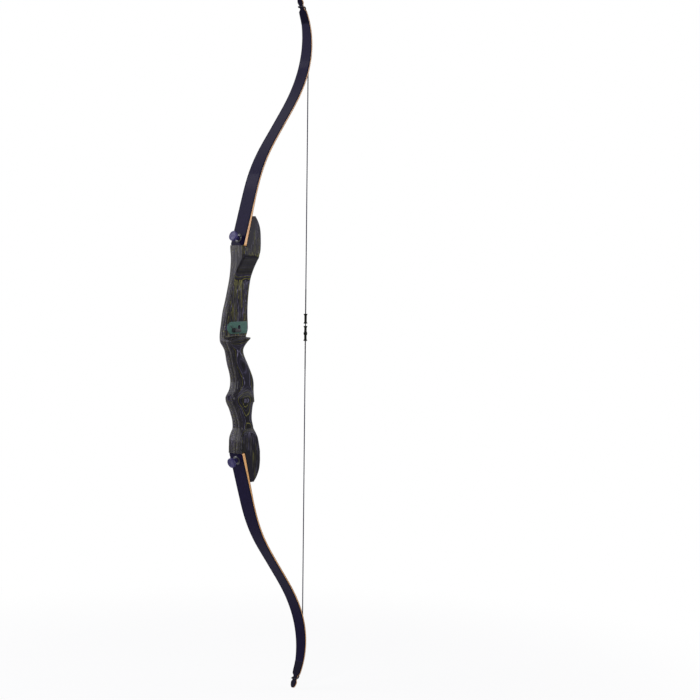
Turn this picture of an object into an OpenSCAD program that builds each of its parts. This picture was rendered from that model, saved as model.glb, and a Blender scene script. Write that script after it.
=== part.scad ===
/* [Bow] */
// Distance from the throat of the grip to the strung string
brace_height = 202.2; // [202:0.1:206]
// Height of the nocking point above the throat of the grip
nocking_height = 48; // [42:1:54]

/* [Limbs] */
// Width of each limb at its butt
butt_w = 40.5; // [38:0.5:42]
// Width of each limb at the middle of its working length
mid_w = 34; // [30:0.5:36]
// Width of each limb just below the string nock
tip_w = 19; // [17:0.5:21]
// Thickness of the whole limb at its butt
butt_t = 9.5; // [8.5:0.1:10.5]
// Thickness where the wedge has run out
mid_t = 4.6; // [4.3:0.1:5.2]
// Thickness just below the tip overlay
tip_t = 3.8; // [3.4:0.1:4.2]
// Thickness of the glass on the back and on the belly
glass_t = 1; // [0.8:0.1:1.2]
// Thickness of the tip overlay
overlay_t = 1.6; // [1:0.1:2.4]
// Arc length of a limb from its butt end to its tip end
limb_length = 605; // [600:1:608]
// Arc length at which the limb starts to bend, just outside the riser
flex_at = 81; // [76:1:86]
// Lean of the butt from the bow's upright line
butt_lean = 17.3; // [16.5:0.1:18]
// Lean at the steepest place of the working length
steep_angle = 37.2; // [36.5:0.1:37.8]
// Turn of the recurve, from the steepest place to the tip
recurve_angle = 59; // [57:0.5:61]
// Width of the neck between the two string grooves
nock_neck = 10; // [9:0.5:11]
// Width of the bead past the string grooves
bead_w = 14.8; // [14:0.2:16]

/* [Riser] */
// Height of the limb butts above the throat, and below it
butt_z = 224.7; // [224:0.1:226]
// How far the back of a limb butt lies on the target side of the throat
butt_x = 13; // [12:0.5:14]
// Height of the riser's fins above the throat, and below it
fin_z = 288; // [284:1:290]
// Height of the arrow shelf above the throat
shelf_z = 26; // [24:0.5:28]
// How far the sight window is cut past the middle of the bow
window_past_centre = 3; // [1:0.5:5]
// Height of the top of the sight window
window_top = 198; // [194:1:202]

/* [Limb bolts] */
// Distance of the bolt from the butt end of the limb
bolt_at = 16; // [14:0.5:19]
// Distance of the locating pin from the butt end of the limb
pin_at = 50; // [44:1:54]
// Diameter of the bolt shank
bolt_d = 7.94; // [6.35:0.01:9.5]
// Diameter of the knob
knob_d = 22; // [19:0.5:24]
// Length of the knob's disc
knob_t = 7.5; // [6:0.5:9]
// Length of the knob's stem, between disc and washer
stem_l = 9.5; // [7:0.5:12]
// Diameter of the washer
washer_d = 19.5; // [17:0.5:21]
// Thickness of the washer
washer_t = 2.6; // [2:0.1:3.2]
// Outer diameter of a threaded limb insert
insert_d = 12.7; // [12:0.1:14]
// Length of a threaded limb insert
insert_l = 20; // [16:1:22]
// Diameter of a locating pin
pin_d = 6; // [5:0.5:7]

/* [Bushes] */
// Thread diameter of the stabilizer and plunger bushes
bush_thread_d = 7.94; // [7:0.01:9]
// Outer diameter of the stabilizer bush
stabilizer_bush_d = 14; // [12:0.5:15]
// Length of the stabilizer bush
stabilizer_bush_l = 20; // [16:1:24]
// Depth below the throat of the stabilizer bush
stabilizer_drop = 103; // [101:0.5:105]
// Outer diameter of the plunger bush
plunger_bush_d = 11; // [10:0.5:12.5]
// Distance of the plunger hole on the target side of the throat
plunger_x = 2.2; // [0:0.2:4]
// Thread diameter of the sight bushes
sight_thread_d = 4.8; // [4:0.1:6]
// Outer diameter of the sight bushes
sight_bush_d = 8; // [7.5:0.5:10]
// Length of the sight bushes
sight_bush_l = 12; // [8:1:13]
// Spacing of the two sight bushes
sight_spacing = 33.3; // [30:0.1:36]
// Height of the lower sight bush above the throat
sight_z = 106; // [98:1:116]

/* [Arrow rest] */
// Length of the felt strike pad along the bow's thickness
pad_l = 59; // [54:1:62]
// Height of the felt strike pad
pad_h = 26; // [24:0.5:27]
// Thickness of the felt strike pad
pad_t = 1.2; // [0.8:0.1:1.6]
// Thickness of the rest's base
rest_base_t = 1.8; // [1.4:0.1:2.4]
// Thickness of the rest's arm
rest_arm_d = 2; // [1.6:0.1:2.4]
// Diameter of the pin at the root of the arm
rest_pin_d = 1.6; // [1.2:0.1:1.8]
// How far the end of the arm stands out from the base
rest_reach = 6; // [4:0.5:8]

/* [String] */
// Diameter of the bare string
string_d = 2.5; // [2:0.1:2.8]
// Diameter of the string over its serving
served_d = 3; // [2.8:0.1:3.2]
// Length of serving above the nocking point
serving_up = 80; // [60:5:110]
// Length of serving below the nocking point
serving_down = 100; // [70:5:130]
// Length of serving on the string below each contact with a limb
end_serving = 70; // [40:5:100]
// Gap between the finger guards, for the arrow nock
nock_gap = 5.2; // [4:0.2:7]
// Length of the upper finger guard
upper_guard_l = 22; // [18:0.5:26]
// Length of the lower finger guard
lower_guard_l = 33.7; // [28:0.5:40]
// Diameter of a finger guard at its flares
guard_flare_d = 8.6; // [7.6:0.2:10]
// Diameter of a finger guard between its flares
guard_waist_d = 5.6; // [4.8:0.2:6.4]

/* [Hidden] */

ebony = [0.13, 0.12, 0.14];
glass_black = [0.12, 0.11, 0.16];
maple = [0.85, 0.66, 0.42];
brass = [0.72, 0.58, 0.3];
felt_green = [0.31, 0.47, 0.42];
string_black = [0.08, 0.08, 0.1];
rubber_black = [0.1, 0.1, 0.11];
knob_purple = [0.27, 0.26, 0.42];
steel = [0.55, 0.55, 0.58];

fit = 0.02;
running_fit = 0.05;
soft_clearance = 0.3;
round_fn = 48;

// Lengths measured back from the tip end of a limb
turn_length = 283;
straight_end = 40;
tip_taper_length = 205;
nock_inset = 22;
overlay_length = 60;

// Wedge, bends and turn along a limb, as arc lengths from its butt end
wedge_end = 110;
bend_from = 105;
bend_to = 265;
turn_from = limb_length - turn_length;
turn_to = limb_length - straight_end;
turn_power = 1.65;
taper_from = 100;
taper_to = 300;
tip_taper_from = limb_length - tip_taper_length;
nock_at = limb_length - nock_inset;
overlay_from = limb_length - overlay_length;
line_step = 2;
ring_step = 14;
tip_ring_step = 3;

function ramp(a, b, x) = let (t = max(0, min(1, (x - a) / (b - a)))) t * t * (3 - 2 * t);
function mix(a, b, t) = a + (b - a) * t;
function unit(v) = v / norm(v);
function joined(lists) = [for (list = lists) each list];

// Turn of the limbs at their flexing point that brings the string to another brace height
natural_brace = 202.2;
flexing_arm = 374;
brace_turn = atan((brace_height - natural_brace) / flexing_arm);

function lean(s) = butt_lean + (s > flex_at ? brace_turn : 0)
    + (steep_angle - butt_lean) * ramp(bend_from, bend_to, s)
    - recurve_angle * pow(max(0, min(1, (s - turn_from) / (turn_to - turn_from))), turn_power);

// Back-face line of the upper limb, one point for each step of arc length
limb_line = [for (s = 0, x = -butt_x, z = butt_z; s <= limb_length + 2 * line_step;
    x = x + line_step * sin(lean(s + line_step / 2)), z = z + line_step * cos(lean(s + line_step / 2)),
    s = s + line_step) [x, z]];
function back_point(s) = let (i = floor(s / line_step))
    mix(limb_line[i], limb_line[i + 1], s / line_step - i);
function inward(s) = [cos(lean(s)), -sin(lean(s))];
function in_depth(s, depth) = back_point(s) + depth * inward(s);

function limb_t(s) = s < wedge_end ? mix(butt_t, mid_t, s / wedge_end)
    : mix(mid_t, tip_t, (s - wedge_end) / (limb_length - wedge_end));
function taper_w(s) = butt_w - (butt_w - mid_w) * ramp(taper_from, taper_to, s)
    - (mid_w - tip_w) * pow(max(0, (s - tip_taper_from) / (nock_at - tip_taper_from)), 2);
nock_run = 7;
groove_half = 4.2;
bead_run = 5;
tip_round = 14;
tip_blunt = 0.04;
function limb_w(s) = s < nock_at
    ? mix(taper_w(s), nock_neck, ramp(nock_at - groove_half - nock_run, nock_at - groove_half, s))
    : mix(nock_neck, bead_w, ramp(nock_at + groove_half, nock_at + groove_half + bead_run, s))
        * sqrt(max(tip_blunt, 1 - pow(max(0, (s - limb_length + tip_round) / tip_round), 2)));

// A body skinned over rings that turn the same way round as the path they follow
module skin(rings) {
    n = len(rings[0]);
    last = len(rings) - 1;
    polyhedron(
        points = joined(rings),
        faces = concat(
            [[for (j = [0 : n - 1]) j]],
            [[for (j = [n - 1 : -1 : 0]) last * n + j]],
            [for (i = [0 : last - 1], j = [0 : n - 1])
                [i * n + j, (i + 1) * n + j, (i + 1) * n + (j + 1) % n]],
            [for (i = [0 : last - 1], j = [0 : n - 1])
                [i * n + j, (i + 1) * n + (j + 1) % n, i * n + (j + 1) % n]]),
        convexity = 6);
}

// A tube that ends where it starts
module closed_skin(rings) {
    n = len(rings[0]);
    m = len(rings);
    polyhedron(
        points = joined(rings),
        faces = concat(
            [for (i = [0 : m - 1], j = [0 : n - 1])
                [i * n + j, (i + 1) % m * n + j, (i + 1) % m * n + (j + 1) % n]],
            [for (i = [0 : m - 1], j = [0 : n - 1])
                [i * n + j, (i + 1) % m * n + (j + 1) % n, i * n + (j + 1) % n]]),
        convexity = 6);
}

function tube_ring(p, along, ref, r, sides) = let (a = unit(cross(along, ref)), b = unit(cross(along, a)))
    [for (i = [0 : sides - 1]) p + r * (cos(360 * i / sides) * a + sin(360 * i / sides) * b)];

module mirrored(side) {
    mirror([0, 0, side < 0 ? 1 : 0]) children();
}

// Local frame of a limb butt: x into the limb from its back face, z along the limb from its butt end
module butt_frame() {
    translate([-butt_x, 0, butt_z]) rotate([0, butt_lean, 0]) children();
}

module along_x(x, z) {
    translate([x, 0, z]) rotate([0, 90, 0]) children();
}

// Riser

// Stations of the riser: height, back, belly, half width, back edge radius, belly edge radius
riser_stations = [
    [-fin_z, -15, 25, 20.5, 2, 5], [-278, -15, 33, 20.5, 2, 5], [-262, -15, 40.5, 20.5, 2, 5],
    [-244, -15, 43.5, 20.5, 2, 5], [-222, -15.4, 43, 20.5, 2, 5], [-206, -15, 40.5, 20.5, 2, 5],
    [-193, -14.5, 38, 20, 3, 5], [-180, -11.3, 33, 18.5, 4, 6], [-166, -9.8, 27.5, 17.5, 5, 7],
    [-153, -12, 24.2, 17, 6, 7], [-140, -16.7, 23.4, 17, 7, 8], [-127, -22.4, 25.5, 17, 8, 8],
    [-114, -30.8, 29.6, 17, 10, 8], [-102, -33.4, 30, 17, 11, 9], [-88, -23.5, 30.5, 16.5, 8, 9],
    [-75, -20, 31.2, 16, 7, 9], [-62, -20.2, 28.3, 16, 6, 10], [-48, -23.4, 22, 15.5, 6, 10],
    [-35, -28, 15, 15, 6, 11], [-22, -32, 7.4, 14.5, 6, 11], [-9, -35.4, 1.2, 14, 6, 11],
    [0, -38.5, 0, 14, 6, 11], [8, -43, 3, 15, 6, 10], [17, -47.3, 9.5, 17, 5, 9], [28, -47, 20, 19, 5, 7],
    [42, -46, 26, 19.5, 5, 4], [55, -43.3, 26, 20, 5, 4], [80, -38.6, 24.9, 20.5, 5, 4],
    [107, -30.6, 26, 20.5, 5, 4], [133, -23.7, 29.3, 20.5, 5, 4], [158, -17.4, 34, 20.5, 4, 4],
    [184, -13.9, 36, 20.5, 3, 4], [200, -13.5, 36.4, 20.5, 3, 4], [212, -14.3, 39, 20.5, 2, 5],
    [226, -15, 40.2, 20.5, 2, 5], [246, -15, 39.8, 20.5, 2, 5], [262, -15, 37.6, 20.5, 2, 5],
    [277, -15, 31.5, 20.5, 2, 5], [fin_z, -15, 25, 20.5, 2, 5]];

riser_ring_step = 12;
corner_steps = 4;

function slope_at(t, i) = i == 0 ? (t[1] - t[0]) / (t[1][0] - t[0][0])
    : i == len(t) - 1 ? (t[i] - t[i - 1]) / (t[i][0] - t[i - 1][0])
    : (t[i + 1] - t[i - 1]) / (t[i + 1][0] - t[i - 1][0]);
function segment_of(t, z) = max([for (i = [0 : len(t) - 2]) if (i == 0 || t[i][0] <= z) i]);
// A smooth curve through the rows of a table, by Hermite pieces
function station(t, z) = let (i = segment_of(t, z), h = t[i + 1][0] - t[i][0], u = (z - t[i][0]) / h)
    (1 + 2 * u) * pow(1 - u, 2) * t[i] + u * pow(1 - u, 2) * h * slope_at(t, i)
    + u * u * (3 - 2 * u) * t[i + 1] + u * u * (u - 1) * h * slope_at(t, i + 1);

function corner(cx, cy, r, from) = [for (k = [0 : corner_steps])
    [cx + r * cos(from + 90 * k / corner_steps), cy + r * sin(from + 90 * k / corner_steps)]];
function riser_section(z) = let (s = station(riser_stations, z), back = s[1], belly = s[2], half = s[3],
        rb = s[4], rf = s[5])
    [for (p = concat(corner(belly - rf, half - rf, rf, 0), corner(back + rb, half - rb, rb, 90),
        corner(back + rb, rb - half, rb, 180), corner(belly - rf, rf - half, rf, 270))) [p[0], p[1], z]];

riser_rings = [for (z = [-fin_z : riser_ring_step : fin_z + 0.01]) riser_section(z)];

shoulder_gap = 0.5;
far = 60;

// Room in front of the riser's fin for the limb butt, in the butt's local frame
module limb_pocket() {
    seat_far = limb_t(0) + (mid_t - butt_t) / wedge_end * 2 * far;
    seat_near = limb_t(0) - (mid_t - butt_t) / wedge_end * shoulder_gap;
    butt_frame() rotate([90, 0, 0]) linear_extrude(height = 2 * far, center = true)
        polygon([[-far, -shoulder_gap], [seat_near, -shoulder_gap], [seat_far, 2 * far], [-far, 2 * far]]);
}

window_top_rise = 33;
window_fillet = 5;
window_knee = 0.12;
window_brow = 0.82;

// Outline of the sight window, seen from the back: shelf, fillet, flat wall and sloping top
module sight_window() {
    wall = window_past_centre;
    fillet = [for (a = [-90 : 15 : 0])
        [wall - window_fillet + window_fillet * cos(a), shelf_z + window_fillet + window_fillet * sin(a)]];
    rotate([90, 0, 90]) linear_extrude(height = 4 * far, center = true)
        polygon(concat([[-far, shelf_z]], fillet, [[wall, window_top - window_top_rise]],
            [[mix(wall, -butt_w / 2, window_knee), window_top - 0.8 * window_top_rise],
             [mix(wall, -butt_w / 2, window_brow), window_top - window_knee * window_top_rise],
             [-butt_w / 2 - 2, window_top], [-far, window_top]]));
}

insert_top = limb_t(bolt_at);
insert_relief = 8;

stabilizer_x = station(riser_stations, -stabilizer_drop)[1];
plunger_rise = 0.4;
plunger_z = nocking_height + plunger_rise;
bush_sink = 0.6;
side_y = 20.5;
sight_x = 2;

module riser() {
    color(ebony) difference() {
        skin(riser_rings);
        for (side = [1, -1]) mirrored(side) {
            limb_pocket();
            butt_frame() {
                along_x(insert_top - 1, bolt_at)
                    cylinder(d = insert_d + 2 * fit, h = insert_l + 1, $fn = round_fn);
                along_x(insert_top + insert_l - 1, bolt_at)
                    cylinder(d = bolt_d + 1, h = insert_relief + 1, $fn = round_fn);
                along_x(limb_t(pin_at) - 1, pin_at)
                    cylinder(d = pin_d + 2 * fit, h = pin_depth + 1, $fn = round_fn);
            }
        }
        sight_window();
        along_x(stabilizer_x - 6, -stabilizer_drop)
            cylinder(d = stabilizer_bush_d + 2 * fit, h = stabilizer_bush_l + 6, $fn = round_fn);
        translate([-plunger_x, far, plunger_z]) rotate([90, 0, 0])
            cylinder(d = plunger_bush_d + 2 * fit, h = 2 * far, $fn = round_fn);
        for (k = [0, 1]) translate([sight_x, side_y - sight_bush_l, sight_z + k * sight_spacing])
            rotate([-90, 0, 0]) cylinder(d = sight_bush_d + 2 * fit, h = 2 * sight_bush_l, $fn = round_fn);
    }
}

// Threaded bushes and inserts

module bush(outer_d, bore_d, length) {
    difference() {
        cylinder(d = outer_d, h = length, $fn = round_fn);
        translate([0, 0, -1]) cylinder(d = bore_d, h = length + 2, $fn = round_fn);
    }
}

module stabilizer_bush() {
    color(brass) along_x(stabilizer_x, -stabilizer_drop)
        bush(stabilizer_bush_d, bush_thread_d, stabilizer_bush_l);
}

module plunger_bush() {
    color(brass) translate([-plunger_x, window_past_centre, plunger_z]) rotate([-90, 0, 0])
        bush(plunger_bush_d, bush_thread_d, side_y - window_past_centre - bush_sink);
}

module sight_bushes() {
    color(brass) for (k = [0, 1])
        translate([sight_x, side_y - sight_bush_l, sight_z + k * sight_spacing]) rotate([-90, 0, 0])
            bush(sight_bush_d, sight_thread_d, sight_bush_l);
}

module limb_insert(side) {
    color(brass) mirrored(side) butt_frame() along_x(insert_top + bush_sink, bolt_at)
        bush(insert_d, bolt_d + 2 * running_fit, insert_l - bush_sink);
}

pin_depth = 14;
pin_stand = 3;

module locating_pin(side) {
    color(steel) mirrored(side) butt_frame() along_x(limb_t(pin_at) - pin_stand, pin_at)
        cylinder(d = pin_d, h = pin_depth + pin_stand, $fn = round_fn);
}

// Strike pad and arrow rest

pad_front = 37.6;
pad_top_z = 60.4;

module strike_pad() {
    r = pad_h / 2;
    back_r = 4;
    outline = concat(
        [for (a = [90 : 10 : 270]) [-pad_front + r + r * cos(a), pad_top_z - r + r * sin(a)]],
        [for (a = [-90 : 15 : 0])
            [pad_l - pad_front - back_r + back_r * cos(a), pad_top_z - pad_h + back_r + back_r * sin(a)]],
        [for (a = [0 : 15 : 90])
            [pad_l - pad_front - back_r + back_r * cos(a), pad_top_z - back_r + back_r * sin(a)]]);
    color(felt_green) translate([0, window_past_centre, 0]) rotate([90, 0, 0])
        difference() {
            linear_extrude(height = pad_t) polygon(outline);
            translate([-plunger_x, plunger_z, -1])
                cylinder(d = bush_thread_d + 1, h = pad_t + 2, $fn = round_fn);
        }
}

// The rest's base lies on the pad; its arm turns on a small upright pin in the base's ear
rest_root = [-17.4, 42.2];
rest_tip = [-36.4, 53.2];
base_y = window_past_centre - pad_t;
base_h = 9.5;
base_back = 2.5;
ear_r = 2.6;
ear_sink = 1.2;
ear_y = base_y - rest_base_t - ear_r + ear_sink;
arm_root_h = 4;
arm_sag = 1.6;
arm_taper = 0.25;
base_corner = 2;
base_foot_corner = 3;

module rest_base() {
    z0 = rest_root[1] - base_h / 2;
    end_r = base_h / 2;
    outline = concat(
        [for (a = [90 : 15 : 270]) [rest_root[0] - ear_r + end_r * cos(a), rest_root[1] + end_r * sin(a)]],
        [for (a = [-90 : 15 : 0]) [base_back + base_foot_corner * (cos(a) - 1),
            z0 + base_foot_corner * (sin(a) + 1)]],
        [for (a = [0 : 15 : 90]) [base_back + base_corner * (cos(a) - 1),
            z0 + base_h - base_foot_corner + base_corner * (sin(a) - 1)]]);
    color(rubber_black) difference() {
        union() {
            translate([0, base_y, 0]) rotate([90, 0, 0])
                linear_extrude(height = rest_base_t) polygon(outline);
            for (z = [z0, z0 + base_h - (base_h - arm_root_h) / 2 + soft_clearance])
                translate([rest_root[0], ear_y, z])
                    cylinder(r = ear_r, h = (base_h - arm_root_h) / 2 - soft_clearance, $fn = round_fn);
        }
        translate([rest_root[0], ear_y, z0 - 1])
            cylinder(d = rest_pin_d + 2 * running_fit, h = base_h + 2, $fn = round_fn);
        translate([rest_root[0], ear_y, rest_root[1]])
            cylinder(r = ear_r + soft_clearance, h = arm_root_h + 2 * soft_clearance, center = true,
                $fn = round_fn);
    }
}

module rest_arm() {
    root = [rest_root[0], ear_y, rest_root[1]];
    tip = [rest_tip[0], base_y - rest_base_t - rest_reach, rest_tip[1]];
    along = unit(tip - root);
    steps = 7;
    arm_start = 0.5;
    path = [for (i = [0 : steps]) let (t = i / steps)
        mix(root, tip, t) - [0, 0, arm_sag * sin(180 * t)] + arm_start * along];
    color(rubber_black) union() {
        translate(root) cylinder(d = rest_pin_d, h = base_h, center = true, $fn = round_fn);
        translate(root) cylinder(r = ear_r - 0.4, h = arm_root_h, center = true, $fn = round_fn);
        skin([for (i = [0 : steps]) tube_ring(path[i], unit(path[min(steps, i + 1)] - path[max(0, i - 1)]),
            [0, 1, 0], rest_arm_d / 2 * (1 - arm_taper * i / steps), 8)]);
    }
}

// Limb butts, fixed in the riser's pockets

nose_r = (limb_t(flex_at) - 2 * glass_t) / 2;
butt_end = flex_at - nose_r - soft_clearance;
butt_corner = 4;
bolt_hole_d = bolt_d + 1.2;
pin_slot = 2;

// Face of the butt, drawn flat, with its two end corners rounded
module butt_outline() {
    polygon(concat(
        [for (a = [180 : 15 : 270])
            [butt_corner + butt_corner * cos(a), butt_corner - butt_w / 2 + butt_corner * sin(a)]],
        [[butt_end, -butt_w / 2], [butt_end, butt_w / 2]],
        [for (a = [90 : 15 : 180])
            [butt_corner + butt_corner * cos(a), butt_w / 2 - butt_corner + butt_corner * sin(a)]]));
}

function slab(from, to) = [[from[0], 0], [to[0], 0], [to[1], butt_end], [from[1], butt_end]];

// One layer of the butt, between two depths that are given at the butt end and at its outer end
module butt_layer(side, from, to, through_pin) {
    mirrored(side) butt_frame() difference() {
        intersection() {
            rotate([90, 0, 0]) linear_extrude(height = butt_w + 2, center = true) polygon(slab(from, to));
            translate([-1, 0, 0]) rotate([0, -90, 180]) linear_extrude(height = butt_t + 2)
                butt_outline();
        }
        along_x(-1, bolt_at) cylinder(d = bolt_hole_d, h = butt_t + 2, $fn = round_fn);
        if (through_pin) for (z = [pin_at - pin_slot / 2, pin_at + pin_slot / 2])
            along_x(limb_t(pin_at) - pin_stand - 0.5, z)
                cylinder(d = pin_d + 2 * soft_clearance, h = pin_stand + 2, $fn = round_fn);
    }
}

core_t = 2.6;
belly_from = [butt_t - glass_t, limb_t(butt_end) - glass_t];

module butt_back_glass(side) {
    color(glass_black) butt_layer(side, [0, 0], [glass_t, glass_t], false);
}

module butt_core(side) {
    core_edge = glass_t + core_t;
    color(maple) butt_layer(side, [glass_t, glass_t], [core_edge, core_edge], true);
}

module butt_wedge(side) {
    core_edge = glass_t + core_t;
    color(maple) butt_layer(side, [core_edge, core_edge], belly_from, true);
}

module butt_belly_glass(side) {
    color(glass_black) butt_layer(side, belly_from, belly_from + [glass_t, glass_t], true);
}

// Working limbs, lofted along the limb line

function lamina_ring(s, from, to) = let (a = in_depth(s, from), b = in_depth(s, to), h = limb_w(s) / 2)
    [[b[0], -h, b[1]], [b[0], h, b[1]], [a[0], h, a[1]], [a[0], -h, a[1]]];
function run(from, to, step) = let (n = ceil((to - from) / step)) [for (i = [0 : n]) mix(from, to, i / n)];
tip_rings = run(overlay_from, limb_length, tip_ring_step);
limb_rings = concat([for (s = run(flex_at, overlay_from, ring_step)) if (s < overlay_from - 0.1) s],
    tip_rings);

module limb_back_glass(side) {
    color(glass_black) mirrored(side)
        skin([for (s = limb_rings) lamina_ring(s, 0, glass_t)]);
}

module limb_core(side) {
    middle = limb_t(flex_at) / 2;
    nose = [for (a = [20 : 17.5 : 72.5]) let (s = flex_at - nose_r * cos(a), h = nose_r * sin(a))
        lamina_ring(s, middle - h, middle + h)];
    body = [for (s = limb_rings) lamina_ring(s, glass_t, limb_t(s) - glass_t)];
    color(maple) mirrored(side) skin(concat(nose, body));
}

module limb_belly_glass(side) {
    color(glass_black) mirrored(side)
        skin([for (s = limb_rings) lamina_ring(s, limb_t(s) - glass_t, limb_t(s))]);
}

overlay_run = 18;
overlay_lip = 0.15;

module tip_overlay(side) {
    color(glass_black) mirrored(side)
        skin([for (s = tip_rings)
            lamina_ring(s,
                -max(overlay_lip, overlay_t * ramp(overlay_from, overlay_from + overlay_run, s)), 0)]);
}

// Limb bolts, on the axis through the butt at bolt_at

disc_round = 2;

module washer(side) {
    edge = 0.8;
    color(steel) mirrored(side) butt_frame() along_x(-washer_t, bolt_at)
        rotate_extrude($fn = round_fn)
            polygon([[bolt_d / 2 + 0.3, 0], [washer_d / 2 - edge - 1.5, 0], [washer_d / 2, washer_t - edge],
                [washer_d / 2, washer_t], [bolt_d / 2 + 0.3, washer_t]]);
}

module knob(side) {
    stem_r = 5.2;
    neck_r = 6.8;
    disc_bottom = washer_t + stem_l;
    top = disc_bottom + knob_t;
    profile = concat(
        [[0, washer_t], [stem_r, washer_t], [stem_r, disc_bottom - 2.5], [neck_r, disc_bottom]],
        [for (a = [-90 : 22.5 : 0]) [knob_d / 2 - disc_round + disc_round * cos(a),
            disc_bottom + disc_round + disc_round * sin(a)]],
        [for (a = [0 : 22.5 : 90]) [knob_d / 2 - disc_round + disc_round * cos(a),
            top - disc_round + disc_round * sin(a)]],
        [[0, top]]);
    color(knob_purple) mirrored(side) butt_frame() translate([0, 0, bolt_at]) rotate([0, -90, 0])
        rotate_extrude($fn = round_fn) polygon(profile);
}

module bolt_shank(side) {
    color(steel) mirrored(side) butt_frame() along_x(-washer_t, bolt_at)
        cylinder(d = bolt_d, h = washer_t + insert_top + insert_l - 1, $fn = round_fn);
}

// String, its servings and the finger guards

contact_s = max([for (s = [turn_from : line_step : turn_to]) if (lean(s) >= 0) s]);
contact_belly = in_depth(contact_s, limb_t(contact_s));
contact = [contact_belly[0] + served_d / 2 + soft_clearance, contact_belly[1]];
string_sides = 8;

function on_belly(s) = let (p = in_depth(s, limb_t(s) + served_d / 2 + soft_clearance)) [p[0], 0, p[1]];
loop_start = nock_at - 9;

// Loop round the neck of the tip, on the belly at angle 0 and on the back at angle 180
function loop_point(a) = let (
        reach = served_d / 2 + soft_clearance + 0.1,
        half_w = nock_neck / 2 + reach,
        half_t = (limb_t(nock_at) + overlay_t) / 2 + reach,
        s = nock_at + 2 - 11 * pow((1 + cos(a)) / 2, 2),
        depth = (limb_t(nock_at) - overlay_t) / 2 + half_t * sign(cos(a)) * pow(abs(cos(a)), 0.35),
        p = in_depth(s, depth))
    [p[0], half_w * sign(sin(a)) * pow(abs(sin(a)), 0.35), p[1]];

module string_loop(side) {
    steps = 24;
    points = [for (i = [0 : steps - 1]) loop_point(360 * (i + 0.5) / steps)];
    direction = let (d = inward(nock_at)) [-d[1], 0, d[0]];
    wrap = [for (s = run(contact_s + 1, loop_start, 8)) on_belly(s)];
    last = len(wrap) - 1;
    color(string_black) mirrored(side) union() {
        closed_skin([for (i = [0 : steps - 1])
            tube_ring(points[i], unit(points[(i + 1) % steps] - points[(i + steps - 1) % steps]),
                direction, served_d / 2, string_sides)]);
        skin([for (i = [0 : last])
            tube_ring(wrap[i], unit(wrap[min(last, i + 1)] - wrap[max(0, i - 1)]), [0, 1, 0],
                served_d / 2, string_sides)]);
    }
}

meeting_gap = 0.15;

// A straight length of the string between two heights
module string_length(bottom, top, d, bore) {
    translate([contact[0], 0, bottom]) difference() {
        cylinder(d = d, h = top - bottom, $fn = round_fn);
        if (bore > 0) translate([0, 0, -1]) cylinder(d = bore, h = top - bottom + 2, $fn = round_fn);
    }
}

function half_end(side) = side * nocking_height + meeting_gap;

module string_half(side) {
    color(string_black) mirrored(side) string_length(half_end(side), contact[1], string_d, 0);
}

module end_serving_tube(side) {
    color(string_black) mirrored(side)
        string_length(contact[1] - end_serving, contact[1], served_d, string_d);
}

module centre_serving(side) {
    length = side > 0 ? serving_up : serving_down;
    color(string_black) mirrored(side)
        string_length(half_end(side), half_end(side) + length, served_d, string_d);
}

guard_wall_fit = 0.05;

// Rubber tube with a flare at each end, and one in the middle of a long one
module finger_guard(side) {
    length = side > 0 ? upper_guard_l : lower_guard_l;
    flares = side > 0 ? [0, 1] : [0, 0.5, 1];
    flare_run = 3.6;
    inner = served_d / 2 + guard_wall_fit;
    waist = guard_waist_d / 2;
    swell = (guard_flare_d - guard_waist_d) / 2;
    outer = [for (z = run(0, length, 1.1))
        let (near = min([for (f = flares) abs(z - f * length)]))
            [waist + swell * (1 - ramp(0, flare_run, near)), z]];
    color(rubber_black) mirrored(side) translate([contact[0], 0, side * nocking_height + nock_gap / 2])
        rotate_extrude($fn = round_fn) polygon(concat([[inner, 0]], outer, [[inner, length]]));
}

riser();
stabilizer_bush();
plunger_bush();
sight_bushes();
strike_pad();
rest_base();
rest_arm();

limb_insert(1);  // upper_limb_insert
locating_pin(1);  // upper_locating_pin
butt_back_glass(1);  // upper_butt_back_glass
butt_core(1);  // upper_butt_core
butt_wedge(1);  // upper_butt_wedge
butt_belly_glass(1);  // upper_butt_belly_glass
limb_back_glass(1);  // upper_limb_back_glass
limb_core(1);  // upper_limb_core
limb_belly_glass(1);  // upper_limb_belly_glass
tip_overlay(1);  // upper_tip_overlay
knob(1);  // upper_knob
bolt_shank(1);  // upper_bolt_shank
washer(1);  // upper_washer
string_loop(1);  // upper_string_loop
string_half(1);  // upper_string
end_serving_tube(1);  // upper_end_serving
centre_serving(1);  // upper_centre_serving
finger_guard(1);  // upper_finger_guard

limb_insert(-1);  // lower_limb_insert
locating_pin(-1);  // lower_locating_pin
butt_back_glass(-1);  // lower_butt_back_glass
butt_core(-1);  // lower_butt_core
butt_wedge(-1);  // lower_butt_wedge
butt_belly_glass(-1);  // lower_butt_belly_glass
limb_back_glass(-1);  // lower_limb_back_glass
limb_core(-1);  // lower_limb_core
limb_belly_glass(-1);  // lower_limb_belly_glass
tip_overlay(-1);  // lower_tip_overlay
knob(-1);  // lower_knob
bolt_shank(-1);  // lower_bolt_shank
washer(-1);  // lower_washer
string_loop(-1);  // lower_string_loop
string_half(-1);  // lower_string
end_serving_tube(-1);  // lower_end_serving
centre_serving(-1);  // lower_centre_serving
finger_guard(-1);  // lower_finger_guard
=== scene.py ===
"""Take-down recurve bow, strung and upright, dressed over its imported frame.

Sizes inside the classes are in millimetres; every mesh is written in metres, in
the frame's own axes, with its object at the origin.
"""

import logging
import math
from bisect import bisect_left
from dataclasses import dataclass, field
from enum import Enum
from typing import Any, Callable, Sequence

import bmesh
import bpy
from mathutils import Matrix, Vector

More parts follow.
